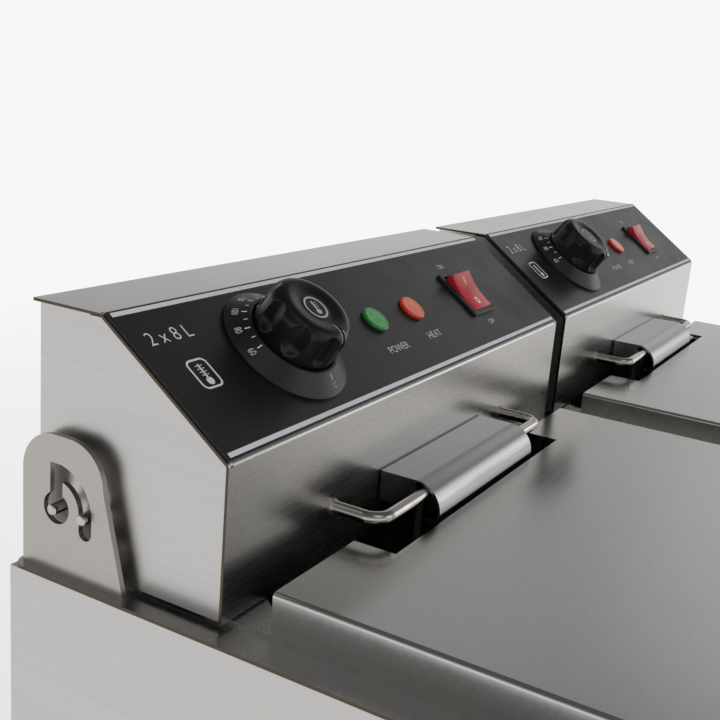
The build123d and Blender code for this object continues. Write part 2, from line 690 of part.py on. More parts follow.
def head_sides():
    """Two flat end panels inside the cover, stepped up at the rear so the head can tip back."""
    gap = HEAD_SHEET + SEAM
    rise = math.tan(math.radians(SLOPE_ANGLE / 2))
    top = head_top_z - gap
    undercut_z = DECK_HEIGHT + SIDE_UNDERCUT
    step_y = face_y + BASE_DEPTH
    outline = [
        (face_y + gap, cover_bottom_z),
        (face_y + gap, fold_z - gap * math.tan(math.radians(45 - SLOPE_ANGLE / 2))),
        (face_y + slope_run + gap * rise, top),
        (head_rear_y - gap, top),
        (head_rear_y - gap, undercut_z),
        (step_y, undercut_z),
        (step_y, cover_bottom_z),
    ]
    sheets = []
    for x0 in (SIDE_INSET, HEAD_WIDTH - SIDE_INSET - HEAD_SHEET):
        sheet = side_sheet(outline, x0, x0 + HEAD_SHEET)
        for y in (pivot_y, pivot_y - PIN_SPACING):
            sheet -= rod_between((x0 - 1, y, pivot_z), (x0 + 2, y, pivot_z), PIN_RADIUS + 0.05)
        inward = 1 if x0 < centre_x else -1
        edge = x0 if inward > 0 else x0 + HEAD_SHEET
        flange = block(
            min(edge, edge + 9 * inward),
            max(edge, edge + 9 * inward),
            face_y + slope_run + 6,
            head_rear_y - gap,
            head_top_z - HEAD_SHEET - HEAD_SHEET,
            head_top_z - HEAD_SHEET,
        )
        web = block(
            x0,
            x0 + HEAD_SHEET,
            face_y + slope_run + 6,
            head_rear_y - gap,
            top - HEAD_SHEET,
            head_top_z - HEAD_SHEET,
        )
        sheets.append(sheet + web + flange)
    return Compound(sheets)


def head_back():
    """Rear panel, closing the head from the undercut up to the cover."""
    gap = HEAD_SHEET + SEAM
    inner = SIDE_INSET + HEAD_SHEET
    rear = head_rear_y - HEAD_SHEET
    bottom = DECK_HEIGHT + SIDE_UNDERCUT
    sheet = block(inner, HEAD_WIDTH - inner, rear - HEAD_SHEET, rear, bottom, head_top_z - 2 * HEAD_SHEET)
    shelf = block(inner, HEAD_WIDTH - inner, face_y + BASE_DEPTH, rear, bottom, bottom + HEAD_SHEET)
    riser_y = face_y + BASE_DEPTH
    riser = block(inner + 4, HEAD_WIDTH - inner - 4, riser_y, riser_y + HEAD_SHEET, bottom - 6, bottom)
    gland = rod_between(
        (HEAD_WIDTH - GLAND_FROM_RIGHT, rear - gap, fold_z + GLAND_ABOVE_FOLD),
        (HEAD_WIDTH - GLAND_FROM_RIGHT, rear + gap, fold_z + GLAND_ABOVE_FOLD),
        GLAND_BORE_RADIUS + 2.1,
    )
    return sheet + shelf + riser - gland


def head_base():
    """Shallow pan under the head's front part; it stands on the tank's rim."""
    x0 = BASE_INSET
    x1 = HEAD_WIDTH - BASE_INSET
    y0 = face_y + HEAD_SHEET
    y1 = face_y + BASE_DEPTH
    top = DECK_HEIGHT + SIDE_UNDERCUT + 4
    pan = block(x0, x1, y0, y1, rim_top_z, top)
    well = block(
        x0 + HEAD_SHEET, x1 - HEAD_SHEET, y0 + HEAD_SHEET, y1 - HEAD_SHEET, rim_top_z + HEAD_SHEET, top + 1
    )
    front_cut = block(
        hood_x[0] + 4, hood_x[1] - 4, y0 - 1, y0 + 2 * HEAD_SHEET, arm_z - ELEMENT_RADIUS - 5, top + 1
    )
    return pan - well - front_cut


def fascia():
    """Thin overlay panel bonded to the slope."""
    s0 = FASCIA_MARGIN + BEND_RADIUS * math.tan(math.radians((90 - SLOPE_ANGLE) / 2)) * 0.5
    s1 = SLOPE_LENGTH - FASCIA_MARGIN
    outline = Rectangle(HEAD_WIDTH - 2 * FASCIA_MARGIN, s1 - s0)
    sheet = extrude(outline, amount=FASCIA_SHEET)
    return on_panel(sheet, HEAD_WIDTH / 2, (s0 + s1) / 2) - panel_holes()


def dial_skirt():
    """Fixed cone-shaped bezel that carries the temperature scale."""
    bore = KNOB_RADIUS + KNOB_CLEARANCE
    z0 = FASCIA_SHEET
    profile = Polyline(
        (bore, z0),
        (SKIRT_RADIUS, z0),
        (SKIRT_RADIUS, z0 + SKIRT_LIP),
        (bore + 0.9, z0 + SKIRT_HEIGHT),
        (bore, z0 + SKIRT_HEIGHT),
        close=True,
    )
    ring = revolve(Plane.XZ * make_face(profile), axis=Axis.Z)
    return on_panel(ring, DIAL_X, DIAL_S)


def knob():
    """Fluted control knob with a dished top and a pointer notch."""
    foot = FASCIA_SHEET + 0.6
    top = FASCIA_SHEET + KNOB_HEIGHT
    profile = Polyline((0, foot), (KNOB_RADIUS, foot), (KNOB_TOP_RADIUS, top), (0, top), close=True)
    body = revolve(Plane.XZ * make_face(profile), axis=Axis.Z)
    body = fillet(body.edges().group_by(Axis.Z)[-1], KNOB_SHOULDER)
    flute = Pos(KNOB_TOP_RADIUS + FLUTE_RADIUS - FLUTE_DEPTH, 0, 0) * Rot(0, -3, 0)
    cutter = Pos(0, 0, (SKIRT_HEIGHT + FASCIA_SHEET + top) / 2 + 3) * Cylinder(
        FLUTE_RADIUS, top - SKIRT_HEIGHT - FASCIA_SHEET + 4
    )
    for index in range(KNOB_FLUTES):
        body -= Rot(0, 0, POINTER_ANGLE + FLUTE_FROM_POINTER + index * 360 / KNOB_FLUTES) * flute * cutter
    body -= Pos(0, 0, top - KNOB_DISH_DEPTH + KNOB_DISH_RADIUS) * Sphere(KNOB_DISH_RADIUS)
    pointer = Rot(0, 0, POINTER_ANGLE) * Pos(12.5, 0, top) * Box(11, 1.1, 3.4)
    bore = Pos(0, 0, foot + 6.5) * Cylinder(SPINDLE_RADIUS + 0.02, 13)
    return on_panel(body - pointer - bore, DIAL_X, DIAL_S)


def thermostat_spindle():
    length = 22.0
    low = FASCIA_SHEET + 0.6 + 12.5 - length
    shaft = Pos(0, 0, low + length / 2) * Cylinder(SPINDLE_RADIUS, length)
    return on_panel(shaft, DIAL_X, DIAL_S)


def sensor_tube(x, start_y, bulb_radius):
    """Sensing tube from inside the head, under the hood and down to its upright bulb in the oil."""
    bulb_bottom = element_z
    bulb_top = bulb_bottom + BULB_LENGTH
    tube = wire_rod([(x, start_y, arm_z), (x, arm_y, arm_z), (x, arm_y, bulb_top)], 8.0, SENSOR_TUBE_RADIUS)
    return tube + rod_between((x, arm_y, bulb_bottom), (x, arm_y, bulb_top), bulb_radius)


def thermostat():
    """Control body behind the dial, its threaded bush, and its capillary with the sensing bulb."""
    body = Pos(0, 0, -HEAD_SHEET - 12) * Box(44, 34, 24)
    bush = Pos(0, 0, -HEAD_SHEET - 1) * Cylinder(5.0, 2 * (HEAD_SHEET + FASCIA_SHEET + 0.4))
    bore = Cylinder(SPINDLE_RADIUS + SPINDLE_CLEARANCE, 60)
    control = on_panel(body + bush - bore, DIAL_X, DIAL_S)
    x = hood_x[0] + SENSOR_INSET
    inside_y = face_y + 18
    turn_y = inside_y + 14
    capillary = [
        (x, inside_y, arm_z),
        (x, inside_y + 8, arm_z),
        (DIAL_X, turn_y, arm_z),
        (DIAL_X, turn_y, fold_z - 4),
    ]
    return control + sensor_tube(x, inside_y, BULB_RADIUS) + wire_rod(capillary, 4.0, SENSOR_TUBE_RADIUS)


def limit_thermostat():
    """Over-temperature cut-out on the base pan, with its own capillary and bulb."""
    x = hood_x[1] - SENSOR_INSET
    y = face_y + 30
    floor = rim_top_z + HEAD_SHEET
    foot = block(x - 14, x + 14, y - 9, y + 9, floor, floor + 2)
    drum = Pos(x, y, floor + 13) * Cylinder(11, 22)
    return foot + drum + sensor_tube(x, y, LIMIT_BULB_RADIUS)


def lamp(index):
    """Pilot lamp: domed lens over its stem and snap body."""
    lens = Pos(0, 0, FASCIA_SHEET + LAMP_HEIGHT / 2) * Cylinder(LAMP_RADIUS, LAMP_HEIGHT)
    lens = fillet(lens.edges().group_by(Axis.Z)[-1], LAMP_HEIGHT / 2)
    stem_top = FASCIA_SHEET + 0.5
    stem = Pos(0, 0, stem_top - 11) * Cylinder(LAMP_BODY_RADIUS, 22)
    return on_panel(lens + stem, lamp_x[index], LAMP_S)


def switch_body():
    """Black rocker-switch housing with a raised rim."""
    top = FASCIA_SHEET + SWITCH_HEIGHT
    rim = extrude(RectangleRounded(SWITCH_WIDTH, SWITCH_LENGTH, 1.6), amount=SWITCH_HEIGHT)
    rim = Pos(0, 0, FASCIA_SHEET) * rim
    rim = fillet(rim.edges().group_by(Axis.Z)[-1], 0.7)
    width = SWITCH_WIDTH - 2 * SWITCH_RIM
    length = SWITCH_LENGTH - 2 * SWITCH_RIM
    depth = 26.0
    can = Pos(0, 0, FASCIA_SHEET - depth / 2) * Box(width + 0.8, length + 0.8, depth)
    well = Pos(0, 0, (top + 1 - 11) / 2) * Box(width, length, top + 1 + 11)
    lugs = Pos(0, 0, FASCIA_SHEET - depth - 4) * (
        Pos(0, -6, 0) * Box(6.3, 0.8, 9) + Pos(0, 6, 0) * Box(6.3, 0.8, 9)
    )
    return on_panel(rim + can - well + lugs, switch_x, SWITCH_S)


def rocker_axis_height():
    """Height of the rocker's pivot over the cover's slope."""
    return FASCIA_SHEET + SWITCH_HEIGHT - ROCKER_AXIS_BELOW_RIM


def rocker():
    """Two-sided rocker, tipped so that its front (off) end is down."""
    width = SWITCH_WIDTH - 2 * SWITCH_RIM - 2 * ROCKER_CLEARANCE
    reach = (SWITCH_LENGTH - 2 * SWITCH_RIM) / 2 - ROCKER_CLEARANCE
    rise = 5.4
    valley = rise - reach * math.tan(math.radians(ROCKER_ANGLE)) * 0.62
    edge_s = reach * math.cos(math.radians(ROCKER_ANGLE)) - 0.3
    points = [
        (-edge_s, 0.4),
        (-edge_s, rise),
        (0, valley),
        (edge_s, rise),
        (edge_s, 0.4),
        (2.5, -5),
        (-2.5, -5),
    ]
    side = make_face(Polyline(*points, close=True))
    body = Pos(-width / 2, 0, 0) * extrude(Plane.YZ * side, amount=width)
    tipped = Pos(0, 0, rocker_axis_height()) * Rot(ROCKER_ANGLE, 0, 0) * body
    return on_panel(tipped, switch_x, SWITCH_S)


def element_hood():
    """Bent cover over the element's arms: top, round front, turned-in lower lip and two cheeks."""
    front = face_y - HOOD_DEPTH
    bottom = hood_top_z - HOOD_DROP
    points = [(face_y, hood_top_z), (front, hood_top_z), (front, bottom), (front + HOOD_LIP, bottom)]
    path = FilletPolyline(*points, radius=[HOOD_BEND, BEND_RADIUS])
    outline = Wire(path.edges()).offset_2d(HEAD_SHEET, kind=Kind.ARC, side=Side.LEFT, closed=True)
    strip = make_face(outline.edges())
    hood = Pos(hood_x[0], 0, 0) * extrude(Plane.YZ * strip, amount=hood_x[1] - hood_x[0])
    cheek_front = face_y - HOOD_CHEEK_DEPTH
    cheek_bottom = hood_top_z - HOOD_CHEEK_DROP
    cheek = [
        (face_y, hood_top_z - HEAD_SHEET),
        (cheek_front, hood_top_z - HEAD_SHEET),
        (cheek_front, hood_top_z - 5.5),
        (cheek_front + 5, cheek_bottom),
        (face_y, cheek_bottom),
    ]
    for x0 in (hood_x[0], hood_x[1] - HEAD_SHEET):
        hood += side_sheet(cheek, x0, x0 + HEAD_SHEET)
    return hood


def hanger_rod():
    """Bent rod that the baskets hang on to drain."""
    inside = face_y + 5
    points = [
        (rod_x[0], inside, rod_z),
        (rod_x[0], rod_y, rod_z),
        (rod_x[1], rod_y, rod_z),
        (rod_x[1], inside, rod_z),
    ]
    return wire_rod(points, ROD_BEND, ROD_RADIUS)


def heating_element():
    """Looped tubular element with its two arms and mounting flange."""
    left_arm = centre_x - ARM_SPACING / 2
    right_arm = centre_x + ARM_SPACING / 2
    left_out = tank_left_x + 25
    right_out = tank_right_x - 25
    left_in = left_out + 40
    right_in = right_out - 40
    near_y = arm_y - 36
    far_y = element_front_y
    return_y = near_y - 30
    flat = [
        (left_arm, near_y),
        (left_out, near_y),
        (left_out, far_y),
        (left_in, far_y),
        (left_in, return_y),
        (right_in, return_y),
        (right_in, far_y),
        (right_out, far_y),
        (right_out, near_y),
        (right_arm, near_y),
    ]
    inside = face_y + 24
    points = [(left_arm, inside, arm_z), (left_arm, arm_y, arm_z), (left_arm, arm_y, element_z)]
    points += [(x, y, element_z) for x, y in flat]
    points += [(right_arm, arm_y, element_z), (right_arm, arm_y, arm_z), (right_arm, inside, arm_z)]
    bends = [11.0] + [ELEMENT_BEND] * (len(points) - 4) + [11.0]
    tube = wire_rod(points, bends, ELEMENT_RADIUS)
    flange = block(
        centre_x - 26,
        centre_x + 26,
        face_y + HEAD_SHEET + HEAD_SHEET,
        face_y + HEAD_SHEET + HEAD_SHEET + ELEMENT_FLANGE_SHEET,
        arm_z - ELEMENT_FLANGE_DROP,
        arm_z + 14,
    )
    return tube + flange


def pivot_pins():
    """Two pins at each end of the head, each with a collar inside the side panel."""
    pins = []
    inner_face = SIDE_INSET + HEAD_SHEET
    for y in (pivot_y, pivot_y - PIN_SPACING):
        shaft = rod_between((-PIN_REACH, y, pivot_z), (inner_face + 1, y, pivot_z), PIN_RADIUS)
        shaft = chamfer(shaft.edges().group_by(Axis.X)[0], 0.4)
        collar = rod_between((inner_face, y, pivot_z), (inner_face + 3, y, pivot_z), 2 * PIN_RADIUS)
        pin = shaft + collar
        pins += [pin, mirror(pin, about=Plane.YZ.offset(centre_x))]
    return Compound(pins)


def cable_gland():
    """Gland for the supply cable in the head's rear panel."""
    x = HEAD_WIDTH - GLAND_FROM_RIGHT
    z = fold_z + GLAND_ABOVE_FOLD
    outside = head_rear_y - HEAD_SHEET
    hexagon = RegularPolygon(GLAND_RADIUS, 6)
    nut = extrude(Plane(origin=(x, outside, z), z_dir=(0, 1, 0)) * hexagon, amount=GLAND_LENGTH / 2)
    cap = rod_between((x, outside, z), (x, outside + GLAND_LENGTH, z), GLAND_RADIUS - 1.5)
    stem = rod_between((x, outside - HEAD_SHEET - 8, z), (x, outside, z), GLAND_BORE_RADIUS + 2)
    lock_nut = extrude(Plane(origin=(x, outside - HEAD_SHEET, z), z_dir=(0, -1, 0)) * hexagon, amount=4)
    bore = rod_between((x, outside - 12, z), (x, outside + GLAND_LENGTH + 1, z), GLAND_BORE_RADIUS)
    return nut + cap + stem + lock_nut - bore


# ---------------------------------------------------------------- write every piece
unit_pieces = {
    "oil_tank": oil_tank,
    "strainer_plate": strainer_plate,
    "basket": basket,
    "basket_handle": basket_handle,
    "basket_grip": basket_grip,
    "lid": lid,
    "lid_handle": lid_handle,
    "head_cover": head_cover,
    "head_sides": head_sides,
    "head_back": head_back,
    "head_base": head_base,
    "fascia": fascia,
    "dial_skirt": dial_skirt,
    "knob": knob,
    "thermostat_spindle": thermostat_spindle,
    "thermostat": thermostat,
    "limit_thermostat": limit_thermostat,
    "lamp_power": lambda: lamp(0),
    "lamp_heat": lambda: lamp(1),
    "switch_body": switch_body,
    "rocker": rocker,
    "element_hood": element_hood,
    "hanger_rod": hanger_rod,
    "heating_element": heating_element,
    "pivot_pins": pivot_pins,
    "cable_gland": cable_gland,
}

cabinet_pieces = {
    "cabinet_shell": cabinet_shell,
    "cabinet_back": cabinet_back,
    "cabinet_base": cabinet_base,
    "cabinet_feet": cabinet_feet,
    "top_deck": top_deck,
    "bracket_screws": bracket_screws,
}

os.makedirs("parts", exist_ok=True)
for name, make in cabinet_pieces.items():
    export_step(make(), f"parts/{name}.step")
for side, unit_x in units.items():
    export_step(bracket_pair(unit_x), f"parts/{side}_brackets.step")
for name, make in unit_pieces.items():
    piece = make()
    for side, unit_x in units.items():
        export_step(Pos(unit_x, 0, 0) * piece, f"parts/{side}_{name}.step")
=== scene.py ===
import json
import math
from functools import partial

import bpy
from mathutils import Matrix, Vector


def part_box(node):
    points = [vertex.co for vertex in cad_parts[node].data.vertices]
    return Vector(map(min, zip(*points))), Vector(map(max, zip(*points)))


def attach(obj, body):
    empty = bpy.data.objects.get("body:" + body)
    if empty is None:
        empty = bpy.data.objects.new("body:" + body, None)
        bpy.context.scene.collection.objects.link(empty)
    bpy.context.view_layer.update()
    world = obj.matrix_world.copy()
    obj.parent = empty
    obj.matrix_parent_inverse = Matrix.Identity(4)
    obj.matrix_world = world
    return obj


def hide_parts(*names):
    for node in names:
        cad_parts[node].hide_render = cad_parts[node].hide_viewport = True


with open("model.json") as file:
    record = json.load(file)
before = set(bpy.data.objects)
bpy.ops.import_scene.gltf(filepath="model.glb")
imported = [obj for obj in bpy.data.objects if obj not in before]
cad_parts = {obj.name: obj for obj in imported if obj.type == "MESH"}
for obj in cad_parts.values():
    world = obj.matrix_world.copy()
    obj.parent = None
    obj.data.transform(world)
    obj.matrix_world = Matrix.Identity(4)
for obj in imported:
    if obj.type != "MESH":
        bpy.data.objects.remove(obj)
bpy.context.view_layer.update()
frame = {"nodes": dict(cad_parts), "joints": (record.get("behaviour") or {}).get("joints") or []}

# Lengths are in millimetres inside this script and become metres through MM.
MM = 0.001
SIDES = ("left", "right")
scene = bpy.context.scene


# ---------------------------------------------------------------- node graphs
class Graph:
    """The node tree of a material or a world, with sockets set or linked by name."""

    def __init__(self, owner):
        self.owner = owner
        owner.use_nodes = True
        self.tree = owner.node_tree
        self.tree.nodes.clear()

    def add(self, kind, inputs=None, **settings):
        node = self.tree.nodes.new("ShaderNode" + kind)
        for key, value in settings.items():
            setattr(node, key, value)
        for key, value in (inputs or {}).items():
            socket = node.inputs[key]
            if isinstance(value, bpy.types.NodeSocket):
                self.tree.links.new(value, socket)
            elif isinstance(value, tuple) and socket.type == "RGBA" and len(value) == 3:
                socket.default_value = (*value, 1.0)
            else:
                socket.default_value = value
        return node

    def coords(self, scale, turn=(0, 0, 0)):
        """Object coordinates in millimetres, stretched by scale."""
        place = self.add("TexCoord").outputs["Object"]
        size = tuple(s / MM for s in scale)
        return self.add("Mapping", {"Vector": place, "Scale": size, "Rotation": turn}).outputs[0]

    def noise(self, vector, scale, detail, roughness=0.5):
        inputs = {"Vector": vector, "Scale": scale, "Detail": detail, "Roughness": roughness}
        return self.add("TexNoise", inputs).outputs["Fac"]

    def ramp(self, factor, *stops):
        node = self.add("ValToRGB", {"Fac": factor})
        elements = node.color_ramp.elements
        while len(elements) < len(stops):
            elements.new(1.0)
        for element, (place, colour) in zip(elements, stops):
            element.position = place
            element.color = (*colour, 1.0)
        return node.outputs["Color"]

    def spread(self, factor, low, high, start=0.3, end=0.7):
        """Maps a factor to a range of values."""
        inputs = {"Value": factor, "From Min": start, "From Max": end, "To Min": low, "To Max": high}
        return self.add("MapRange", inputs).outputs[0]

    def maths(self, operation, first, second):
        return self.add("Math", {0: first, 1: second}, operation=operation).outputs[0]

    def blend(self, share, first, second):
        inputs = {"Fac": share, "Color1": first, "Color2": second}
        return self.add("MixRGB", inputs).outputs[0]

    def bump(self, height, strength, distance):
        inputs = {"Height": height, "Strength": strength, "Distance": distance * MM}
        return self.add("Bump", inputs).outputs[0]

    def finish(self, inputs):
        shader = self.add("BsdfPrincipled", inputs)
        self.add("OutputMaterial", {"Surface": shader.outputs[0]})
        return self.owner


def material_graph(name):
    return Graph(bpy.data.materials.new(name))


def shade(colour, factor):
    return tuple(c * factor for c in colour)


# shares of fine and broad brush lines, and how much wider the broad ones are
FINE, BROAD, BROADER = 0.6, 0.4, 0.17
# the x of a cut end's normal where the painted shade of the cover's seams starts and is full, and how
# far before a hood's rear edge the painted shade of its seam starts and is full
CUT_SHADE_FROM, CUT_SHADE_FULL = 0.9, 0.98
SEAM_SHADE_FROM, SEAM_SHADE_FULL = 1.1, 0.7


def brushed(name, grain, tint, rough, axis="X", aniso=0.55, scratch=0.16, cut=None, back=None):
    """Brushed sheet steel. grain is how often the brush lines repeat per millimetre along each axis.
    cut is painted shade laid on the sheet's cut ends, which face left and right, for the shade in the
    seam beside them, and back is painted shade along a hood's rear edge, where it meets the face."""
    g = material_graph(name)
    fine = g.noise(g.coords(grain), 1.0, 5.0, 0.65)
    broad = g.noise(g.coords(shade(grain, BROADER)), 1.0, 3.0, 0.6)
    cloud = g.noise(g.coords((0.011,) * 3), 1.0, 3.0, 0.55)
    mixed = g.maths("ADD", g.maths("MULTIPLY", fine, FINE), g.maths("MULTIPLY", broad, BROAD))
    colour = g.ramp(mixed, (0.36, shade(tint, 0.95)), (0.5, tint), (0.64, shade(tint, 1.03)))
    # painted shade: the cut ends facing left and right are tinted dark for the shade in the seam beside
    # them
    if cut:
        normal = g.add("SeparateXYZ", {0: g.add("TexCoord").outputs["Normal"]})
        sideways = g.maths("ABSOLUTE", normal.outputs["X"], 0.0)
        colour = g.blend(g.spread(sideways, 0.0, 1.0, CUT_SHADE_FROM, CUT_SHADE_FULL), colour, cut)
    # painted shade: a band along the hood's rear edge is tinted near black for the shade where it meets
    # the face
    if back:
        place = g.add("SeparateXYZ", {0: g.add("TexCoord").outputs["Object"]})
        start, full = (HOOD_BACK - gap * MM for gap in (SEAM_SHADE_FROM, SEAM_SHADE_FULL))
        colour = g.blend(g.spread(place.outputs["Y"], 0.0, 1.0, start, full), colour, back)
    streak = g.spread(mixed, rough - 0.02, rough + 0.03)
    worn = g.spread(cloud, -0.015, 0.02)
    tangent = g.add("Tangent", direction_type="RADIAL", axis=axis).outputs[0]
    return g.finish(
        {
            "Base Color": colour,
            "Metallic": 1.0,
            "Roughness": g.maths("ADD", streak, worn),
            "Anisotropic": aniso,
            "Tangent": tangent,
            "Normal": g.bump(mixed, scratch, 0.05),
        }
    )


def polished(name, tint, rough, spots=0.35):
    """Drawn and polished wire or bar, with faint drawing marks and dull spots."""
    g = material_graph(name)
    marks = g.noise(g.coords((1.3,) * 3), 1.0, 4.0, 0.6)
    dull = g.noise(g.coords((0.07,) * 3), 1.0, 3.0, 0.6)
    colour = g.ramp(dull, (0.3, shade(tint, 0.86)), (0.6, tint))
    roughness = g.spread(dull, rough + 0.08, rough - 0.04)
    return g.finish(
        {
            "Base Color": colour,
            "Metallic": 1.0,
            "Roughness": roughness,
            "Normal": g.bump(marks, spots * 0.2, 0.04),
        }
    )


def moulded(name, tint, rough, speckle=1.2, bump=0.25, coat=0.0, specular=0.5):
    """Moulded plastic or rubber with a fine spark-eroded grain."""
    g = material_graph(name)
    grain = g.noise(g.coords((speckle,) * 3), 2.2, 3.0, 0.65)
    cloud = g.noise(g.coords((0.06,) * 3), 1.0, 3.0, 0.55)
    colour = g.ramp(grain, (0.35, shade(tint, 0.8)), (0.65, shade(tint, 1.2)))
    gloss = g.spread(grain, rough - 0.04, rough + 0.04)
    roughness = g.maths("ADD", gloss, g.spread(cloud, -0.03, 0.04))
    return g.finish(
        {
            "Base Color": colour,
            "Roughness": roughness,
            "Specular IOR Level": specular,
            "Coat Weight": coat,
            "Coat Roughness": 0.12,
            "Normal": g.bump(grain, bump, 0.05),
        }
    )


def printed(name, tint):
    """Screen-printed ink, slightly uneven. The pale ink also paints highlights on the knobs' groove
    edges.
    """
    g = material_graph(name)
    grain = g.noise(g.coords((3.0,) * 3), 1.0, 3.0, 0.6)
    colour = g.ramp(grain, (0.3, shade(tint, 0.9)), (0.7, shade(tint, 1.04)))
    return g.finish({"Base Color": colour, "Roughness": g.spread(grain, 0.42, 0.56)})


def lens(name, deep, pale):
    """Tinted pilot-lamp lens: clear glossy plastic over a prismatic inner face."""
    g = material_graph(name)
    cells = g.add("TexVoronoi", {"Vector": g.coords((1.0,) * 3), "Scale": 1.15})
    prism = cells.outputs["Distance"]
    cloud = g.noise(g.coords((0.4,) * 3), 1.0, 3.0, 0.6)
    mixed = g.maths("ADD", g.maths("MULTIPLY", prism, 0.7), g.maths("MULTIPLY", cloud, 0.4))
    return g.finish(
        {
            "Base Color": g.ramp(mixed, (0.25, deep), (0.75, pale)),
            "Roughness": g.spread(cloud, 0.16, 0.3),
            "Subsurface Weight": 0.25,
            "Subsurface Radius": (0.002, 0.002, 0.002),
            "Coat Weight": 0.6,
            "Coat Roughness": 0.1,
            "Normal": g.bump(prism, 0.25, 0.25),
        }
    )


STEEL = (0.56, 0.549, 0.534)
# painted shade: this dark tint on the cover's cut ends stands in for the shade in its seams
CUT_END_SHADE = (0.1, 0.075, 0.05)
# painted shade: the second colour here is the near-black shade along the hood's rear edge
HOOD_TINT, HOOD_SEAM_SHADE = (0.4, 0.402, 0.405), (0.02, 0.018, 0.016)
BRACKET_TINT = (0.45, 0.43, 0.4)
# brush lines that run along x, and along y
ALONG_X, ALONG_Y = (0.03, 3.2, 3.2), (3.2, 0.03, 3.2)
HOOD_BACK = max(vertex.co.y for vertex in frame["nodes"]["left_element_hood"].data.vertices)
# the cover's cut ends get the painted seam shade
COVER_STEEL = brushed("brushed_cover_shaded_ends", ALONG_X, STEEL, 0.26, "X", 0.35, 0.006, cut=CUT_END_SHADE)
PANEL_STEEL = brushed("brushed_panel", ALONG_Y, STEEL, 0.3, "Y", 0.3, 0.008)
BRACKET_STEEL = brushed("brushed_bracket", ALONG_Y, BRACKET_TINT, 0.28, "Y", 0.3, 0.01)
LID_STEEL = brushed("brushed_lid", ALONG_X, STEEL, 0.19, "X", 0.25, 0.008)
# the hood gets painted shade along its rear edge
HOOD_STEEL = brushed("brushed_hood_shaded_seam", ALONG_X, HOOD_TINT, 0.2, "X", 0.3, 0.008, back=HOOD_SEAM_SHADE)
PLATE_STEEL = brushed("rolled_plate", (0.9, 0.9, 0.05), shade(STEEL, 1.02), 0.36, "Z", 0.2, 0.1)
TANK_STEEL = brushed("drawn_tank", (0.6, 0.6, 0.02), shade(STEEL, 0.95), 0.26, "Z", 0.3, 0.08)
WIRE_STEEL = polished("polished_wire", (0.56, 0.54, 0.5), 0.13)
SCREW_STEEL = polished("zinc_screw", (0.6, 0.6, 0.6), 0.26, 0.8)
WELD = polished("weld_bead", (0.5, 0.47, 0.44), 0.38, 1.6)
ELEMENT_STEEL = polished("heat_tinted_element", (0.19, 0.165, 0.15), 0.36, 1.4)
BRASS = polished("brass", (0.68, 0.5, 0.22), 0.28, 0.8)
FASCIA = moulded("fascia_film", (0.005, 0.005, 0.0055), 0.34, 3.0, 0.06, specular=0.6)
SATIN_BLACK = moulded("satin_black", (0.005, 0.005, 0.0055), 0.34, 1.6, 0.8)
GLOSS_BLACK = moulded("knob_black", (0.004, 0.004, 0.0045), 0.27, 3.0, 0.02, specular=0.3)
GRIP_BLACK = moulded("grip_black", (0.022, 0.022, 0.023), 0.45, 1.3, 0.4)
RUBBER = moulded("foot_rubber", (0.02, 0.02, 0.02), 0.62, 1.0, 0.6)
CONTROL = moulded("phenolic", (0.09, 0.07, 0.05), 0.45, 0.8, 0.4)
# print on the fascia and dial, and painted highlights along the knobs' pointer grooves
PALE_INK_AND_HIGHLIGHT = printed("pale_ink_and_highlight", (0.52, 0.545, 0.57))
KNOB_INK = printed("knob_ink", (0.33, 0.36, 0.38))
GREEN = lens("green_lens", (0.0, 0.1, 0.008), (0.005, 0.24, 0.03))
# painted light: the lens tops get lighter copies of the lens colours, for the light falling on them
GREEN_LIT_TOP = lens("green_lens_painted_light_top", (0.012, 0.15, 0.03), (0.045, 0.29, 0.08))
ORANGE = lens("orange_lens", (0.5, 0.02, 0.004), (0.72, 0.06, 0.012))
ORANGE_LIT_TOP = lens("orange_lens_painted_light_top", (0.42, 0.06, 0.018), (0.58, 0.13, 0.045))
RED = moulded("rocker_red", (0.4, 0.005, 0.01), 0.26, 0.7, 0.06, coat=0.25)
WHITE_INK = printed("white_ink", (0.8, 0.8, 0.8))

FINISHES = {
    "cabinet_shell": PANEL_STEEL,
    "cabinet_back": PANEL_STEEL,
    "cabinet_base": PLATE_STEEL,
    "cabinet_feet": RUBBER,
    "top_deck": COVER_STEEL,
    "bracket_screws": SCREW_STEEL,
    "brackets": BRACKET_STEEL,
    "oil_tank": TANK_STEEL,
    "strainer_plate": PLATE_STEEL,
    "basket": WIRE_STEEL,
    "basket_handle": WIRE_STEEL,
    "basket_grip": GRIP_BLACK,
    "lid": LID_STEEL,
    "lid_handle": WIRE_STEEL,
    "head_cover": COVER_STEEL,
    "head_sides": PANEL_STEEL,
    "head_back": PANEL_STEEL,
    "head_base": PLATE_STEEL,
    "fascia": FASCIA,
    "dial_skirt": SATIN_BLACK,
    "knob": GLOSS_BLACK,
    "thermostat_spindle": BRASS,
    "thermostat": CONTROL,
    "limit_thermostat": CONTROL,
    "lamp_power": GREEN,
    "lamp_heat": ORANGE,
    "switch_body": SATIN_BLACK,
    "rocker": RED,
    "element_hood": HOOD_STEEL,
    "hanger_rod": WIRE_STEEL,
    "heating_element": ELEMENT_STEEL,
    "pivot_pins": WIRE_STEEL,
    "cable_gland": SATIN_BLACK,
}

for node_name, node_object in frame["nodes"].items():
    kind = node_name.removeprefix("left_").removeprefix("right_")
    for material_slot in node_object.material_slots:
        material_slot.material = FINISHES[kind]


# ---------------------------------------------------------------- places on the sloping panel
DIAL_X, DIAL_S = 65.9, 33.2
joints = {joint["name"]: joint for joint in frame["joints"]}


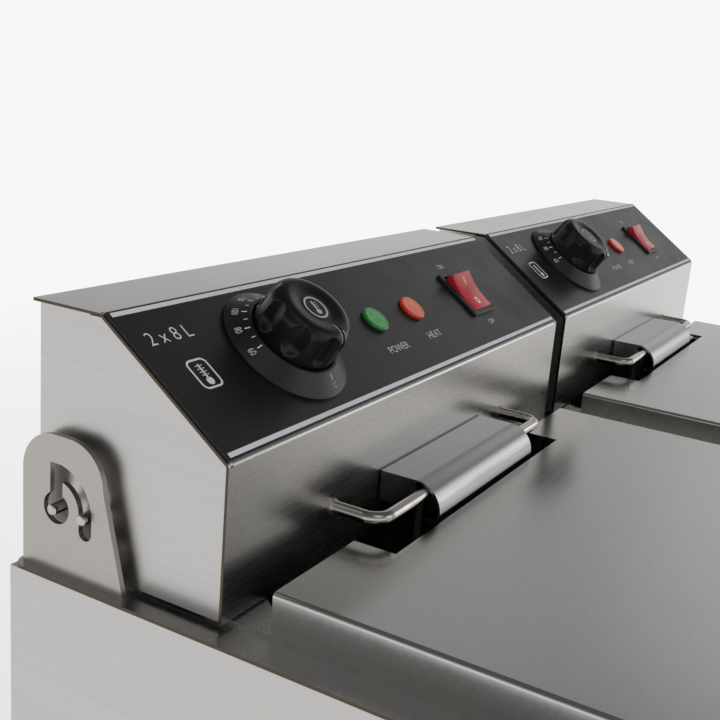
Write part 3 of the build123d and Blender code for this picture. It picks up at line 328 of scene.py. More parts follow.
class Panel:
    """A head's sloping panel: x from the head's left end, s up the slope, h out of it."""

    def __init__(self, side):
        joint = joints[f"{side}_knob_turn"]
        self.normal = -Vector(joint["axis"]).normalized()
        self.up = self.normal.cross(Vector((1, 0, 0)))
        self.origin = Vector(joint["pos_m"]) - Vector((DIAL_X * MM, 0, 0)) - self.up * DIAL_S * MM

    def at(self, x, s, h):
        return self.origin + Vector((x * MM, 0, 0)) + self.up * (s * MM) + self.normal * (h * MM)


panels = {side: Panel(side) for side in SIDES}


def head_start(side):
    """X of the head's left end, in millimetres."""
    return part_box(f"{side}_head_cover")[0].x / MM


# ---------------------------------------------------------------- mesh helpers
def new_piece(name, points, faces, finish, body, smooth=True, hides=()):
    mesh = bpy.data.meshes.new(name)
    mesh.from_pydata([tuple(p) for p in points], [], faces)
    mesh.materials.append(finish)
    mesh.validate()
    piece = bpy.data.objects.new(name, mesh)
    scene.collection.objects.link(piece)
    for polygon in mesh.polygons:
        polygon.use_smooth = smooth
    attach(piece, body)
    if hides:
        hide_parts(*hides)
    return piece


def merge(parts):
    """Joins (points, faces) pairs into one."""
    points, faces = [], []
    for part_points, part_faces in parts:
        start = len(points)
        points += part_points
        faces += [tuple(start + index for index in face) for face in part_faces]
    return points, faces


def lathe(profile, count, place, shift=None):
    """Surface of revolution. place(x, y, h) gives the point; shift(angle, r, h) bends the profile."""
    points, faces = [], []
    for r, h in profile:
        for index in range(count):
            angle = 2 * math.pi * index / count
            radius, height = shift(angle, r, h) if shift else (r, h)
            points.append(place(radius * math.cos(angle), radius * math.sin(angle), height))
    rows = len(profile)
    for row in range(rows - 1):
        for index in range(count):
            after = (index + 1) % count
            a, b = row * count + index, row * count + after
            faces.append((a, b, b + count, a + count))
    for row, order in ((0, -1), (rows - 1, 1)):
        faces.append(tuple(row * count + index for index in range(count))[::order])
    return points, faces


def rounded_path(corners, bend, closed=False, steps=5):
    """Corner points with each corner turned into an arc."""
    corners = [Vector(c) for c in corners]
    count, path = len(corners), []
    for index, corner in enumerate(corners):
        if not closed and index in (0, count - 1):
            path.append(corner)
            continue
        before = (corners[index - 1] - corner).normalized()
        after = (corners[(index + 1) % count] - corner).normalized()
        half = before.angle(after) / 2
        back = bend / math.tan(half)
        centre = corner + (before + after).normalized() * (bend / math.sin(half))
        start, end = corner + before * back - centre, corner + after * back - centre
        turn = start.angle(end)
        for step in range(steps + 1):
            share = step / steps
            arm = start * math.sin((1 - share) * turn) + end * math.sin(share * turn)
            path.append(centre + arm / math.sin(turn))
    return path


def tube(path, radius, sides=8, closed=False):
    """Round wire along a path given in millimetres; returned in metres."""
    count = len(path)
    points, faces = [], []
    side = None
    for index, here in enumerate(path):
        ahead = path[(index + 1) % count] if closed or index < count - 1 else here
        behind = path[index - 1] if closed or index > 0 else here
        along = (ahead - behind).normalized()
        if side is None:
            side = along.orthogonal().normalized()
        side = (side - along * side.dot(along)).normalized()
        other = along.cross(side)
        for step in range(sides):
            angle = 2 * math.pi * step / sides
            points.append((here + (side * math.cos(angle) + other * math.sin(angle)) * radius) * MM)
    for row in range(count if closed else count - 1):
        following = (row + 1) % count
        shift = 0
        if closed and following == 0:
            # the frame may have turned on its way round: join each point to its nearest
            gaps = [(points[0] - points[row * sides + k]).length for k in range(sides)]
            shift = gaps.index(min(gaps))
        for step in range(sides):
            after = (step + 1) % sides
            a, b = row * sides + (step + shift) % sides, row * sides + (after + shift) % sides
            faces.append((a, b, following * sides + after, following * sides + step))
    if not closed:
        faces.append(tuple(range(sides))[::-1])
        faces.append(tuple((count - 1) * sides + step for step in range(sides)))
    return points, faces


def flat_text(words, height, width=None, thick=0.05):
    """Letters as a thin solid in the XY plane, centred, in millimetres."""
    curve = bpy.data.curves.new("lettering", "FONT")
    curve.body = words
    curve.size = 1.0
    curve.extrude = 0.5
    curve.offset = -0.012
    curve.resolution_u = 4
    source = bpy.data.objects.new("lettering", curve)
    scene.collection.objects.link(source)
    bpy.context.view_layer.update()
    evaluated = source.evaluated_get(bpy.context.evaluated_depsgraph_get())
    made = bpy.data.meshes.new_from_object(evaluated)
    points = [v.co.copy() for v in made.vertices]
    faces = [tuple(p.vertices) for p in made.polygons]
    bpy.data.objects.remove(source)
    bpy.data.curves.remove(curve)
    bpy.data.meshes.remove(made)
    low = [min(p[axis] for p in points) for axis in (0, 1)]
    high = [max(p[axis] for p in points) for axis in (0, 1)]
    tall = height / (high[1] - low[1])
    wide = width / (high[0] - low[0]) if width else tall * 0.8
    middle = [(a + b) / 2 for a, b in zip(low, high)]
    placed = [((p.x - middle[0]) * wide, (p.y - middle[1]) * tall, (p.z + 0.5) * thick) for p in points]
    return [Vector(p) for p in placed], faces


def strip(path, width, thick=0.05, closed=False):
    """Flat printed line along a path in the XY plane, as a thin solid."""
    count = len(path)
    points, faces = [], []
    for index, here in enumerate(path):
        ahead = path[(index + 1) % count] if closed or index < count - 1 else here
        behind = path[index - 1] if closed or index > 0 else here
        along = (ahead - behind).normalized()
        across = Vector((-along.y, along.x, 0)) * (width / 2)
        for offset, z in ((across, 0), (across, thick), (-across, thick), (-across, 0)):
            points.append(here + offset + Vector((0, 0, z)))
    for row in range(count if closed else count - 1):
        a, b = row * 4, (row + 1) % count * 4
        for k in range(4):
            m = (k + 1) % 4
            faces.append((a + k, b + k, b + m, a + m))
    if not closed:
        faces += [(0, 1, 2, 3), tuple((count - 1) * 4 + k for k in (3, 2, 1, 0))]
    return points, faces


def moved(part, x, y):
    return [p + Vector((x, y, 0)) for p in part[0]], part[1]


def line(*ends):
    return [Vector((x, y, 0)) for x, y in ends]


def oval(half_width, half_height, count):
    turns = [2 * math.pi * k / count for k in range(count)]
    return [Vector((half_width * math.cos(t), half_height * math.sin(t), 0)) for t in turns]


def disc_mark(radius, thick=0.05, count=24):
    rim = oval(radius, radius, count)
    top = [p + Vector((0, 0, thick)) for p in rim]
    faces = [tuple(range(count))[::-1], tuple(range(count, 2 * count))]
    faces += [(k, (k + 1) % count, count + (k + 1) % count, count + k) for k in range(count)]
    return rim + top, faces


# ---------------------------------------------------------------- knob
KNOB_RADIUS, KNOB_TOP_RADIUS = 16.9, 16.3
KNOB_FOOT, KNOB_TOP = 1.5, 22.0
SHOULDER = 4.6
DISH_RADIUS, DISH_DEPTH = 5.9, 0.95
CAP_RADIUS, CAP_EDGE_DEPTH, CAP_DEPTH = 5.6, 0.9, 0.88
FLUTES, FLUTE_HALF, FLUTE_DEPTH, FLUTE_FOOT = 8, 3.9, 1.75, 8.6
FLUTED_FROM = 12.0
POINTER = math.radians(-86.0)
FIRST_FLUTE = POINTER + math.pi / FLUTES
GROOVE_START, GROOVE_FOOT, GROOVE_RUN_OUT = 8.6, 15.0, 2.0
GROOVE_DEPTH, GROOVE_SHALLOW = 1.5, 0.35
GROOVE_NARROW, GROOVE_WIDENS = 0.3, 0.95
# painted highlights along the groove's edges, and print on the cap
HIGHLIGHT_LIFT = 0.05
CAP_INK_H = KNOB_TOP - CAP_EDGE_DEPTH + 0.04


def groove_reach(r):
    """0 where the pointer groove starts and 1 at the knob's edge."""
    return (r - GROOVE_START) / (KNOB_TOP_RADIUS - GROOVE_START)


def groove_width(r):
    return GROOVE_NARROW + GROOVE_WIDENS * groove_reach(r)


def knob_shift(angle, r, h):
    """Cuts the flutes and the pointer groove into the knob's profile."""
    step = 2 * math.pi / FLUTES
    off = abs((angle - FIRST_FLUTE + step / 2) % step - step / 2) * KNOB_TOP_RADIUS
    rise = min(1.0, max(0.0, (h - FLUTE_FOOT) / FLUTE_HALF))
    half = FLUTE_HALF * math.sqrt(1 - (1 - rise) ** 2)
    if r > FLUTED_FROM and off < half:
        bowl = (1 - (off / half) ** 2) * half / FLUTE_HALF
        share = (h - KNOB_FOOT) / (KNOB_TOP - SHOULDER - KNOB_FOOT)
        side = KNOB_RADIUS - (KNOB_RADIUS - KNOB_TOP_RADIUS) * share
        r = min(r, side - FLUTE_DEPTH * bowl)
    if r > GROOVE_START and h > GROOVE_FOOT:
        from_pointer = abs((angle - POINTER + math.pi) % (2 * math.pi) - math.pi) * r
        width = groove_width(r)
        if from_pointer < width:
            deep = GROOVE_SHALLOW + (1 - GROOVE_SHALLOW) * groove_reach(r)
            cut = GROOVE_DEPTH * deep * (1 - from_pointer / width)
            cut *= min(1.0, (h - GROOVE_FOOT) / GROOVE_RUN_OUT)
            lean = min(1.0, max(0.0, (r - KNOB_TOP_RADIUS + SHOULDER) / SHOULDER))
            r -= cut * lean
            h -= cut * math.sqrt(1 - lean * lean)
    return r, h


def knob_profile():
    """(radius, height) from the foot up over the shoulder and into the dished top."""
    shoulder_h, shoulder_r = KNOB_TOP - SHOULDER, KNOB_TOP_RADIUS - SHOULDER
    rows, side_steps, dish_steps = [], 24, 14
    for k in range(side_steps + 1):
        share = k / side_steps
        radius = KNOB_RADIUS + (KNOB_TOP_RADIUS - KNOB_RADIUS) * share
        rows.append((radius, KNOB_FOOT + (shoulder_h - KNOB_FOOT) * share))
    for k in range(1, side_steps + 1):
        turn = math.pi / 2 * k / side_steps
        rows.append((shoulder_r + SHOULDER * math.cos(turn), shoulder_h + SHOULDER * math.sin(turn)))
    for k in range(1, dish_steps + 1):
        radius = shoulder_r - (shoulder_r - DISH_RADIUS) * k / dish_steps
        rows.append((radius, knob_top_height(radius)))
    rows.append((CAP_RADIUS, KNOB_TOP - CAP_EDGE_DEPTH))
    return rows + [(r, KNOB_TOP - CAP_DEPTH) for r in (4.0, 2.0, 0.6)]


def knob_top_height(r):
    """Height of the knob's top, dish and shoulder, at a radius."""
    flat = KNOB_TOP_RADIUS - SHOULDER
    if r > flat:
        return KNOB_TOP - SHOULDER + math.sqrt(SHOULDER**2 - (r - flat) ** 2)
    share = min(1.0, (flat - r) / (flat - DISH_RADIUS))
    return KNOB_TOP - DISH_DEPTH * math.sin(math.pi / 2 * share) ** 2


def pointer_edge(hand, start, end, width=0.22, steps=24):
    """Pale line along one edge of the pointer groove, a painted highlight."""
    points, faces = [], []
    for k in range(steps + 1):
        r = start + (end - start) * k / steps
        for across in (groove_width(r) - 0.05, groove_width(r) + width):
            angle = POINTER + hand * across / r
            height = knob_top_height(r) + HIGHLIGHT_LIFT
            points.append(Vector((r * math.cos(angle), r * math.sin(angle), height)))
    for k in range(steps):
        face = (2 * k, 2 * k + 1, 2 * k + 3, 2 * k + 2)
        faces.append(face if hand > 0 else face[::-1])
    return points, faces


def cap_mark():
    """Thermometer in a ring, printed on the middle of the knob."""
    parts = [strip(oval(4.75, 4.75, 48), 0.75, closed=True)]
    parts.append(moved(disc_mark(1.25), 0, -1.9))
    parts.append(strip(line((0, -1.5), (0, 2.9)), 0.9))
    parts += [strip(line((0.9, y), (1.9, y)), 0.35) for y in (0.1, 1.1, 2.1)]
    return merge(parts)


def on_dial(side, x, y, h):
    return panels[side].at(DIAL_X + x, DIAL_S + y, h)


for side in SIDES:
    body = f"{side}_knob"
    points, faces = lathe(knob_profile(), 480, partial(on_dial, side), knob_shift)
    new_piece(f"{side}_knob_moulding", points, faces, GLOSS_BLACK, body, hides=(body,))
    points, faces = cap_mark()
    points = [on_dial(side, p.x, p.y, CAP_INK_H + p.z) for p in points]
    new_piece(f"{side}_knob_mark", points, faces, KNOB_INK, body, smooth=False)
    # painted highlights along both edges of the pointer groove
    points, faces = merge([pointer_edge(-1, 8.8, 15.9), pointer_edge(1, 12.5, 16.0)])
    points = [on_dial(side, p.x, p.y, p.z) for p in points]
    new_piece(f"{side}_knob_groove_highlights", points, faces, PALE_INK_AND_HIGHLIGHT, body, smooth=False)


# ---------------------------------------------------------------- lamps
LAMP_S, LENS_TOP, LENS_FLAT = 32.4, 2.8, 5.35
# the fourth column of each lamp is the lighter copy of its lens colour, painted light for its flat top
LAMPS = (
    ("power", 129.6, GREEN, GREEN_LIT_TOP, "green_lens"),
    ("heat", 161.8, ORANGE, ORANGE_LIT_TOP, "orange_lens"),
)
# (radius, height) of the barrel, the flange's edge, the rounded rim and the slightly domed top
LENS_BARREL = [(4.6, -20.0), (4.6, 0.84), (6.15, 0.84)]
LENS_RIM = [(6.3, 1.0), (6.3, 1.9), (6.2, 2.3), (5.95, 2.6), (5.6, 2.76), (5.3, 2.8)]
LENS_DOME = [(5.1, 2.74), (4.9, 2.72), (3.2, 2.78), (1.6, LENS_TOP), (0.4, LENS_TOP)]


def on_lamp(side, x, a, b, h):
    return panels[side].at(x + a, LAMP_S + b, h)


for side in SIDES:
    for lamp, x, finish, top, slot in LAMPS:
        profile = LENS_BARREL + LENS_RIM + LENS_DOME
        points, faces = lathe(profile, 64, partial(on_lamp, side, x))
        node = f"{side}_lamp_{lamp}"
        piece = new_piece(f"{side}_{lamp}_lens", points, faces, finish, f"{side}_head", hides=(node,))
        # painted light: faces of the lens's flat top take the lighter copy
        piece.data.materials.append(top)
        middle = panels[side].at(x, LAMP_S, LENS_TOP)
        for polygon in piece.data.polygons:
            corners = (piece.data.vertices[v].co for v in polygon.vertices)
            reach = max((corner - middle).length for corner in corners)
            polygon.material_index = int(reach < LENS_FLAT * MM)


# ---------------------------------------------------------------- printing on the fascia
INK_H = 0.8
STRIPE_ENDS, STRIPE_LOW, STRIPE_HIGH, STRIPE_WIDTH = (2.2, 277.6), 2.9, 62.2, 1.8


def panel_print(side, name, part):
    points = [panels[side].at(p.x, p.y, INK_H + p.z) for p in part[0]]
    new_piece(f"{side}_{name}", points, part[1], PALE_INK_AND_HIGHLIGHT, f"{side}_head", smooth=False)


def round_outline(width, height, radius):
    x, y = width / 2, height / 2
    corners = [(-x, -y, 0), (x, -y, 0), (x, y, 0), (-x, y, 0)]
    return rounded_path(corners, radius, closed=True, steps=6)


def thermometer():
    parts = [strip(round_outline(9.2, 11.6, 2.2), 0.75, closed=True)]
    parts.append(strip(line((0, -2.2), (0, 4.0)), 0.8))
    parts.append(moved(disc_mark(1.6), 0, -3.2))
    for k in range(4):
        y = -0.6 + 1.3 * k
        parts.append(strip(line((-1.7, y), (-0.7, y)), 0.3))
        parts.append(strip(line((0.7, y), (1.7, y)), 0.3))
    return merge(parts)


for side in SIDES:
    stripes = []
    for s in (STRIPE_HIGH, STRIPE_LOW):
        stripes.append(strip(line(*((x, s) for x in STRIPE_ENDS)), STRIPE_WIDTH))
    panel_print(side, "fascia_stripes", merge(stripes))
    words = [
        moved(flat_text("POWER", 3.3, 15.6), 130.0, 17.3),
        moved(flat_text("HEAT", 3.3, 11.4), 162.6, 17.6),
        moved(flat_text("ON", 2.7, 5.4), 217.6, 50.2),
        moved(flat_text("OFF", 2.7, 5.8), 217.6, 13.6),
        moved(flat_text("2 x 8 L", 5.4, 21.0), 18.6, 50.0),
    ]
    panel_print(side, "fascia_lettering", merge(words))
    panel_print(side, "thermometer_icon", moved(thermometer(), 19.6, 32.5))


# ---------------------------------------------------------------- dial scale on the skirt's cone
SKIRT_RADIUS, SKIRT_EDGE, SKIRT_BORE, SKIRT_TOP = 25.7, 2.0, 18.3, 7.0
SCALE_FIRST, SCALE_STEP, SCALE_MARKS = 60, 10, 14
SCALE_START, SCALE_TURN = 180, 12.6
TICK_RADIUS, NUMBER_RADIUS, NUMBER_SIZE = 18.9, 22.6, 2.4
LONG_TICK, LONG_WIDTH = 2.0, 0.5
SHORT_TICK, SHORT_WIDTH = 1.4, 0.36


def on_cone(side, part, degrees, radius):
    """Wraps a flat mark onto the skirt's cone, with its foot towards the rim."""
    slope = (SKIRT_TOP - SKIRT_EDGE) / (SKIRT_RADIUS - SKIRT_BORE)
    length = math.hypot(1, slope)
    points = []
    for p in part[0]:
        r = radius - p.y / length
        h = SKIRT_EDGE + (SKIRT_RADIUS - r) * slope + p.z
        turn = math.radians(degrees) + p.x / r
        points.append(on_dial(side, r * math.cos(turn), r * math.sin(turn), h))
    return points, part[1]


def tick(length, width):
    return strip(line((0, -length / 2), (0, length / 2)), width)


for side in SIDES:
    marks = []
    for index in range(SCALE_MARKS):
        number = SCALE_FIRST + SCALE_STEP * index
        degrees = SCALE_START - SCALE_TURN * index
        numbered = number % (2 * SCALE_STEP) == 0
        length, width = (LONG_TICK, LONG_WIDTH) if numbered else (SHORT_TICK, SHORT_WIDTH)
        marks.append(on_cone(side, tick(length, width), degrees, TICK_RADIUS + length / 2))
        if numbered:
            marks.append(on_cone(side, flat_text(str(number), NUMBER_SIZE), degrees, NUMBER_RADIUS))
    marks.append(on_cone(side, tick(2.4, 0.45), -84, 20.1))
    marks.append(on_cone(side, flat_text("°C", 2.2), -83, 22.7))
    points, faces = merge(marks)
    new_piece(f"{side}_dial_scale", points, faces, PALE_INK_AND_HIGHLIGHT, f"{side}_head", smooth=False)


# ---------------------------------------------------------------- rocker
SWITCH_X, SWITCH_S = 218.2, 32.0
ROCKER_HALF, ROCKER_REACH, ROCKER_RISE, ROCKER_DIP = 9.6, 10.1, 5.4, 3.9
ROCKER_CURVE = 1.7
# where the end walls stop, and the narrow root below the axis
ROCKER_WALL_FOOT, ROCKER_ROOT_S, ROCKER_ROOT_H = 0.6, 3.0, -4.6
ROCKER_TILT = math.radians(11.0)
ROCKER_AXIS_H = -0.7
MARK_S, MARK_LIFT = 5.6, 0.02


def rocker_height(s):
    return ROCKER_DIP + (ROCKER_RISE - ROCKER_DIP) * abs(s / ROCKER_REACH) ** ROCKER_CURVE


def rocker_profile(steps=20):
    """Side outline of the rocker, level, as (s, h) from its axis."""
    places = [ROCKER_REACH * (-1 + 2 * k / steps) for k in range(steps + 1)]
    top = [(s, rocker_height(s)) for s in places]
    root = [(ROCKER_ROOT_S, ROCKER_ROOT_H), (-ROCKER_ROOT_S, ROCKER_ROOT_H)]
    return top + [(places[-1], ROCKER_WALL_FOOT), *root, (places[0], ROCKER_WALL_FOOT)]


def rocker_point(side, x, s, h):
    c, w = math.cos(ROCKER_TILT), math.sin(ROCKER_TILT)
    return panels[side].at(SWITCH_X + x, SWITCH_S + s * c - h * w, ROCKER_AXIS_H + s * w + h * c)


def on_rocker(side, part, s_middle):
    made = []
    for p in part[0]:
        s = s_middle + p.y
        made.append(rocker_point(side, p.x, s, rocker_height(s) + MARK_LIFT + p.z))
    return made, part[1]


for side in SIDES:
    body = f"{side}_rocker"
    outline = rocker_profile()
    count = len(outline)
    points = [rocker_point(side, x, s, h) for x in (-ROCKER_HALF, ROCKER_HALF) for s, h in outline]
    faces = [tuple(range(count)), tuple(range(count, 2 * count))[::-1]]
    faces += [(k, count + k, count + (k + 1) % count, (k + 1) % count) for k in range(count)]
    piece = new_piece(f"{side}_rocker_moulding", points, faces, RED, body, hides=(body,))
    edge = piece.modifiers.new("edge", "BEVEL")
    edge.width, edge.segments = 0.5 * MM, 3
    edge.limit_method, edge.angle_limit = "ANGLE", math.radians(40)
    bar = strip(line(*((0, y / 4) for y in range(-7, 8))), 0.6)
    ring = strip(oval(1.2, 1.7, 24), 0.55, closed=True)
    points, faces = merge([on_rocker(side, bar, MARK_S), on_rocker(side, ring, -MARK_S)])
    new_piece(f"{side}_rocker_marks", points, faces, WHITE_INK, body, smooth=False)


# ---------------------------------------------------------------- wire basket
# the basket's box: x from the head's left end, then y and z of the frame
BASKET_LEFT, BASKET_RIGHT = 29, 251
BASKET_FRONT, BASKET_REAR = -163.955, 81.045
BASKET_FOOT, BASKET_TOP = 68.3, 178.3
RIM_WIRE, FOOT_WIRE, MESH_WIRE, HOOK_WIRE = 2.5, 1.6, 0.6, 1.75
RIM_BEND, FOOT_BEND, LEVEL_BEND, WIRE_BEND, HOOK_BEND = 10.0, 9.0, 8.0, 4.0, 2.5
MESH_PITCH, MESH_INSET, MESH_MARGIN = 6.0, 1.6, 16
CROSSING = 1.1  # rows lie inside the columns, and levels inside both
HOOKS, HOOK_REAR, HOOK_RISE, HOOK_ROOT, HOOK_TIP = (83.45, 191.95), 94.8, 12, 30, 1


def loop(x0, x1, y0, y1, z, bend, steps):
    corners = [(x0, y0, z), (x1, y0, z), (x1, y1, z), (x0, y1, z)]
    return rounded_path(corners, bend, True, steps)


def wire_basket(head_x):
    x0, x1, y0, y1 = head_x + BASKET_LEFT, head_x + BASKET_RIGHT, BASKET_FRONT, BASKET_REAR
    top, bottom = BASKET_TOP, BASKET_FOOT + 1.0
    wires = [tube(loop(x0, x1, y0, y1, top, RIM_BEND, 6), RIM_WIRE, 12, True)]
    foot = loop(x0 + 3, x1 - 3, y0 + 3, y1 - 3, bottom + 1, FOOT_BEND, 6)
    wires.append(tube(foot, FOOT_WIRE, 10, True))
    a0, a1, b0, b1 = x0 + MESH_INSET, x1 - MESH_INSET, y0 + MESH_INSET, y1 - MESH_INSET
    columns = int((a1 - a0 - MESH_MARGIN) // MESH_PITCH)
    rows = int((b1 - b0 - MESH_MARGIN) // MESH_PITCH)
    for index in range(columns + 1):
        x = (a0 + a1) / 2 + (index - columns / 2) * MESH_PITCH
        corners = [(x, b0, top), (x, b0, bottom), (x, b1, bottom), (x, b1, top)]
        wires.append(tube(rounded_path(corners, WIRE_BEND, False, 3), MESH_WIRE, 6))
    low = bottom + CROSSING
    for index in range(rows + 1):
        y = (b0 + b1) / 2 + (index - rows / 2) * MESH_PITCH
        corners = [(a0, y, top), (a0, y, low), (a1, y, low), (a1, y, top)]
        wires.append(tube(rounded_path(corners, WIRE_BEND, False, 3), MESH_WIRE, 6))
    for index in range(int((top - bottom - MESH_MARGIN / 2) // MESH_PITCH)):
        z = bottom + MESH_PITCH * (index + 1)
        inner = (a0 + CROSSING, a1 - CROSSING, b0 + CROSSING, b1 - CROSSING)
        wires.append(tube(loop(*inner, z, LEVEL_BEND, 4), MESH_WIRE, 6, True))
    for hook in HOOKS:
        x, crest = head_x + hook, top + HOOK_RISE
        corners = [(x, y1, top - HOOK_ROOT), (x, y1, crest)]
        corners += [(x, HOOK_REAR, crest), (x, HOOK_REAR, top - HOOK_TIP)]
        wires.append(tube(rounded_path(corners, HOOK_BEND, False, 4), HOOK_WIRE, 12))
    return merge(wires)


for side in SIDES:
    points, faces = wire_basket(head_start(side))
    body = f"{side}_basket"
    new_piece(f"{side}_wire_basket", points, faces, WIRE_STEEL, body, hides=(body,))


# ---------------------------------------------------------------- basket grip
GRIP_ANGLE = math.radians(30.0)
# where the handle's wires bend up, and where they end; the grip starts before their ends
GRIP_X, WIRE_END_Y, WIRE_BEND_Y, WIRE_BEND_Z, GRIP_OVERLAP = 140, -237.0, -168.955, 197.7, 26
GRIP_LENGTH, GRIP_HALF_WIDTH, GRIP_HALF_THICK = 112.0, 17.0, 8.5
GRIP_STEPS, GRIP_SIDES, GRIP_SQUARENESS = 28, 40, 0.62
# shares of the length and the width taken by the rounded ends
END_FROM, END_SHARE = 0.44, 0.06


def grip_section(share):
    """Half width and half thickness of the grip, part of the way along it."""
    off = abs(share - 0.5)
    ends = 1.0
    if off > END_FROM:
        ends = min(1.0, math.sqrt(max(0.0, 1 - ((off - END_FROM) / END_SHARE) ** 2)))
    waist = 1 - 0.1 * math.cos((share - 0.55) * 2 * math.pi) ** 2
    ribs = 0.93 + 0.07 * math.cos(share * 10 * math.pi)
    return GRIP_HALF_WIDTH * (0.72 + 0.28 * ends) * waist, GRIP_HALF_THICK * (0.6 + 0.4 * ends) * ribs


def squared(value, half):
    return half * math.copysign(abs(value) ** GRIP_SQUARENESS, value)


def moulded_grip(head_x):
    along = Vector((0, -math.cos(GRIP_ANGLE), math.sin(GRIP_ANGLE)))
    across = Vector((1, 0, 0))
    out = across.cross(along)
    end_z = WIRE_BEND_Z + (WIRE_BEND_Y - WIRE_END_Y) * math.tan(GRIP_ANGLE)
    start = Vector((head_x + GRIP_X, WIRE_END_Y, end_z)) - along * GRIP_OVERLAP
    points, faces, count = [], [], GRIP_SIDES
    for step in range(GRIP_STEPS + 1):
        share = step / GRIP_STEPS
        half_w, half_t = grip_section(share)
        centre = start + along * (GRIP_LENGTH * share)
        for k in range(count):
            angle = 2 * math.pi * k / count
            u, v = squared(math.cos(angle), half_w), squared(math.sin(angle), half_t)
            points.append((centre + across * u + out * v) * MM)
    for row in range(GRIP_STEPS):
        for k in range(count):
            a, b = row * count + k, row * count + (k + 1) % count
            faces.append((a, b, b + count, a + count))
    last = GRIP_STEPS * count
    faces += [tuple(range(count))[::-1], tuple(last + k for k in range(count))]
    return points, faces


for side in SIDES:
    points, faces = moulded_grip(head_start(side))
    name, body, hidden = f"{side}_moulded_grip", f"{side}_basket", (f"{side}_basket_grip",)
    new_piece(name, points, faces, GRIP_BLACK, body, hides=hidden)


# ---------------------------------------------------------------- weld beads at the hanger rod's roots
ROD_RADIUS = 2.5
# (radius, height off the face)
BEAD = [(3.2, 0.0), (3.1, 0.2), (2.85, 0.45), (2.65, 0.75), (2.55, 1.1), (2.5, 1.3)]
RIPPLES, RIPPLE_HEIGHT, RIPPLED_FROM = 11, 0.06, 2.8


def ripple(angle, r, h):
    return r + RIPPLE_HEIGHT * math.sin(RIPPLES * angle) * (r > RIPPLED_FROM), h


def on_face(centre, a, b, h):
    return (centre + Vector((a, -h, b))) * MM


for side in SIDES:
    low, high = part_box(f"{side}_hanger_rod")
    face_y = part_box(f"{side}_head_cover")[0].y / MM
    rod_z = (low.z + high.z) / 2 / MM
    parts = []
    for rod_x in (low.x / MM + ROD_RADIUS, high.x / MM - ROD_RADIUS):
        centre = Vector((rod_x, face_y, rod_z))
        parts.append(lathe(BEAD, 44, partial(on_face, centre), ripple))
    points, faces = merge(parts)
    new_piece(f"{side}_rod_welds", points, faces, WELD, f"{side}_head")


# ---------------------------------------------------------------- floor, light and camera
def light_path(tree, *kinds):
    """1 for rays of any of these kinds."""
    rays = tree.nodes.new("ShaderNodeLightPath").outputs
    sockets = [rays[f"Is {kind} Ray"] for kind in kinds]
    while len(sockets) > 1:
        either = tree.nodes.new("ShaderNodeMath")
        either.operation = "MAXIMUM"
        tree.links.new(sockets.pop(), either.inputs[0])
        tree.links.new(sockets.pop(), either.inputs[1])
        sockets.append(either.outputs[0])
    return sockets[0]


# The floor is 14 m to each side. Near the object it is partly a matt surface, which takes the shadow,
# and from FADE_END metres on it is an even white.
FLOOR = 14.0
FLOOR_DARK, FLOOR_PALE = (0.83, 0.83, 0.84), (0.87, 0.87, 0.875)
FLOOR_WHITE = (0.925, 0.925, 0.93)
FADE_START, FADE_END, LEAST_WHITE = 0.4, 1.3, 0.62


def floor_material():
    """Pale floor: a soft shadow near the object, even white further off and in the steel."""
    g = material_graph("studio_floor")
    place = g.add("TexCoord").outputs["Object"]
    coarse = g.add("Mapping", {"Vector": place, "Scale": (6, 6, 6)}).outputs[0]
    grain = g.noise(coarse, 1.0, 3.0)
    colour = g.ramp(grain, (0.3, FLOOR_DARK), (0.7, FLOOR_PALE))
    body = g.add("BsdfDiffuse", {"Color": colour})
    glow = g.add("Emission", {"Color": FLOOR_WHITE, "Strength": 1.0})
    distance = g.add("VectorMath", {0: place}, operation="LENGTH").outputs["Value"]
    fade = g.spread(distance, LEAST_WHITE, 1.0, FADE_START, FADE_END)
    share = g.maths("MAXIMUM", fade, light_path(g.tree, "Glossy", "Transmission"))
    mix = g.add("MixShader", {"Fac": share})
    g.tree.links.new(body.outputs[0], mix.inputs[1])
    g.tree.links.new(glow.outputs[0], mix.inputs[2])
    g.add("OutputMaterial", {"Surface": mix.outputs[0]})
    return g.owner


floor_mesh = bpy.data.meshes.new("floor")
floor_corners = [(-FLOOR, -FLOOR, 0), (FLOOR, -FLOOR, 0), (FLOOR, FLOOR, 0), (-FLOOR, FLOOR, 0)]
floor_mesh.from_pydata(floor_corners, [], [(0, 1, 2, 3)])
floor_mesh.materials.append(floor_material())
floor = bpy.data.objects.new("floor", floor_mesh)
scene.collection.objects.link(floor)

# What the steel sees: how bright the room is at each height (0 level, 1 overhead), and soft lights as
# (direction, half angle where the light starts, half angle where it's full, brightness).
ROOM = (
    (0.0, 1.0),
    (0.1, 0.9),
    (0.14, 0.76),
    (0.2, 0.58),
    (0.3, 0.44),
    (0.4, 0.33),
    (0.5, 0.3),
    (0.62, 0.14),
    (0.8, 0.1),
    (1.0, 0.12),
)
REFLECTED_LIGHTS = (
    ((0.86, -0.47, 0.2), 15.0, 6.0, 0.9),
    ((0.93, 0.0, 0.4), 14.0, 4.0, 0.3),
    ((0.8, 0.42, 0.45), 20.0, 6.0, 0.12),
    ((0.29, -0.87, 0.39), 18.0, 6.0, 0.8),
    ((-0.3, -0.5, 0.8), 22.0, 8.0, 0.6),
)
BACKDROP = 0.925
DIFFUSE_LIGHT = 0.55
WORLD_TINT = (1.0, 0.998, 0.992)


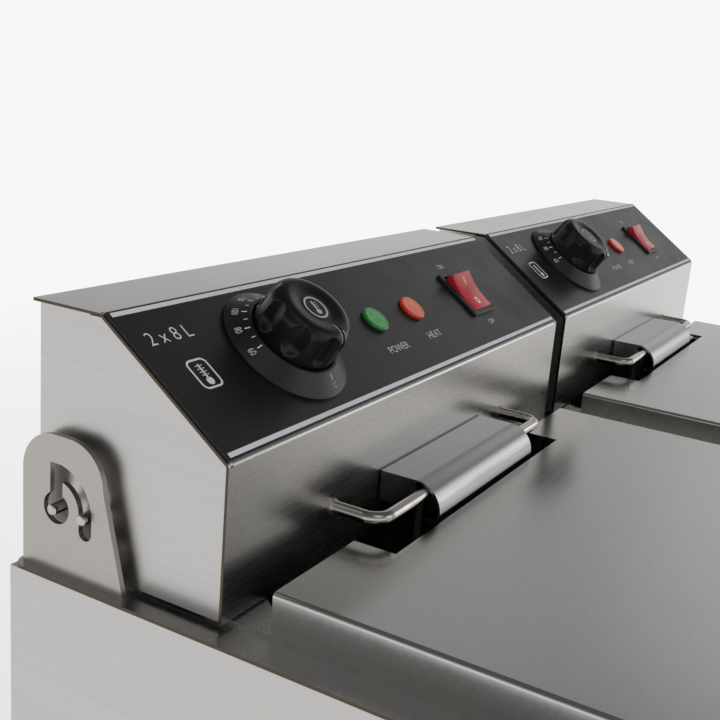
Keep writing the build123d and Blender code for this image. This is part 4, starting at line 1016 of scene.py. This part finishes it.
def studio_world():
    """Even light for matt surfaces, plain white for the camera, and a graded room for reflections."""
    g = Graph(bpy.data.worlds.new("studio"))
    towards = g.add("TexCoord").outputs["Generated"]
    height = g.add("SeparateXYZ", {0: towards}).outputs["Z"]
    level = g.ramp(height, *[(place, (tone,) * 3) for place, tone in ROOM])
    for direction, edge, core, tone in REFLECTED_LIGHTS:
        inputs = {0: towards, 1: Vector(direction).normalized()}
        facing = g.add("VectorMath", inputs, operation="DOT_PRODUCT").outputs["Value"]
        low, high = math.cos(math.radians(edge)), math.cos(math.radians(core))
        level = g.maths("ADD", level, g.spread(facing, 0.0, tone, low, high))
    mirrored = g.maths("MULTIPLY", level, light_path(g.tree, "Glossy", "Transmission"))
    seen = g.maths("MULTIPLY", BACKDROP, light_path(g.tree, "Camera"))
    matt = g.maths("MULTIPLY", DIFFUSE_LIGHT, light_path(g.tree, "Diffuse"))
    total = g.maths("ADD", g.maths("ADD", mirrored, seen), matt)
    back = g.add("Background", {"Color": WORLD_TINT, "Strength": total})
    g.add("OutputWorld", {"Surface": back.outputs[0]})
    return g.owner


scene.world = studio_world()


def softbox(name, place, width, height, radiance):
    """Rectangular lamp aimed at the fryer's top, which the steel doesn't mirror."""
    light = bpy.data.lights.new(name, "AREA")
    light.shape = "RECTANGLE"
    light.size, light.size_y = width, height
    light.energy = radiance * math.pi * width * height
    lamp = bpy.data.objects.new(name, light)
    scene.collection.objects.link(lamp)
    lamp.visible_glossy = False
    lamp.location = place
    lamp.rotation_mode = "QUATERNION"
    lamp.rotation_quaternion = (Vector((0, 0, 0.2)) - Vector(place)).to_track_quat("-Z", "Y")


softbox("overhead", (0.3, -0.4, 2.2), 2.6, 2.6, 0.8)
softbox("right_bank", (2.0, -1.2, 1.4), 1.6, 1.2, 0.7)

# The camera's axes in the shared frame, where it stands in metres, and its lens in millimetres.
RIGHT = Vector((0.50592, -0.85875, 0.08125))
DOWN = Vector((-0.18428, -0.19962, -0.96239))
FORWARD = Vector((0.84267, 0.47192, -0.25924))
camera_data = bpy.data.cameras.new("camera")
camera_data.lens = 52.59
camera_data.sensor_width = 36.0
camera_data.clip_start = 0.01
camera = bpy.data.objects.new("camera", camera_data)
scene.collection.objects.link(camera)
camera.rotation_mode = "QUATERNION"
camera.rotation_quaternion = Matrix((RIGHT, -DOWN, -FORWARD)).transposed().to_quaternion()
camera.location = (-0.52624, -0.05518, 0.37012)
scene.camera = camera

scene.view_settings.view_transform = "Standard"
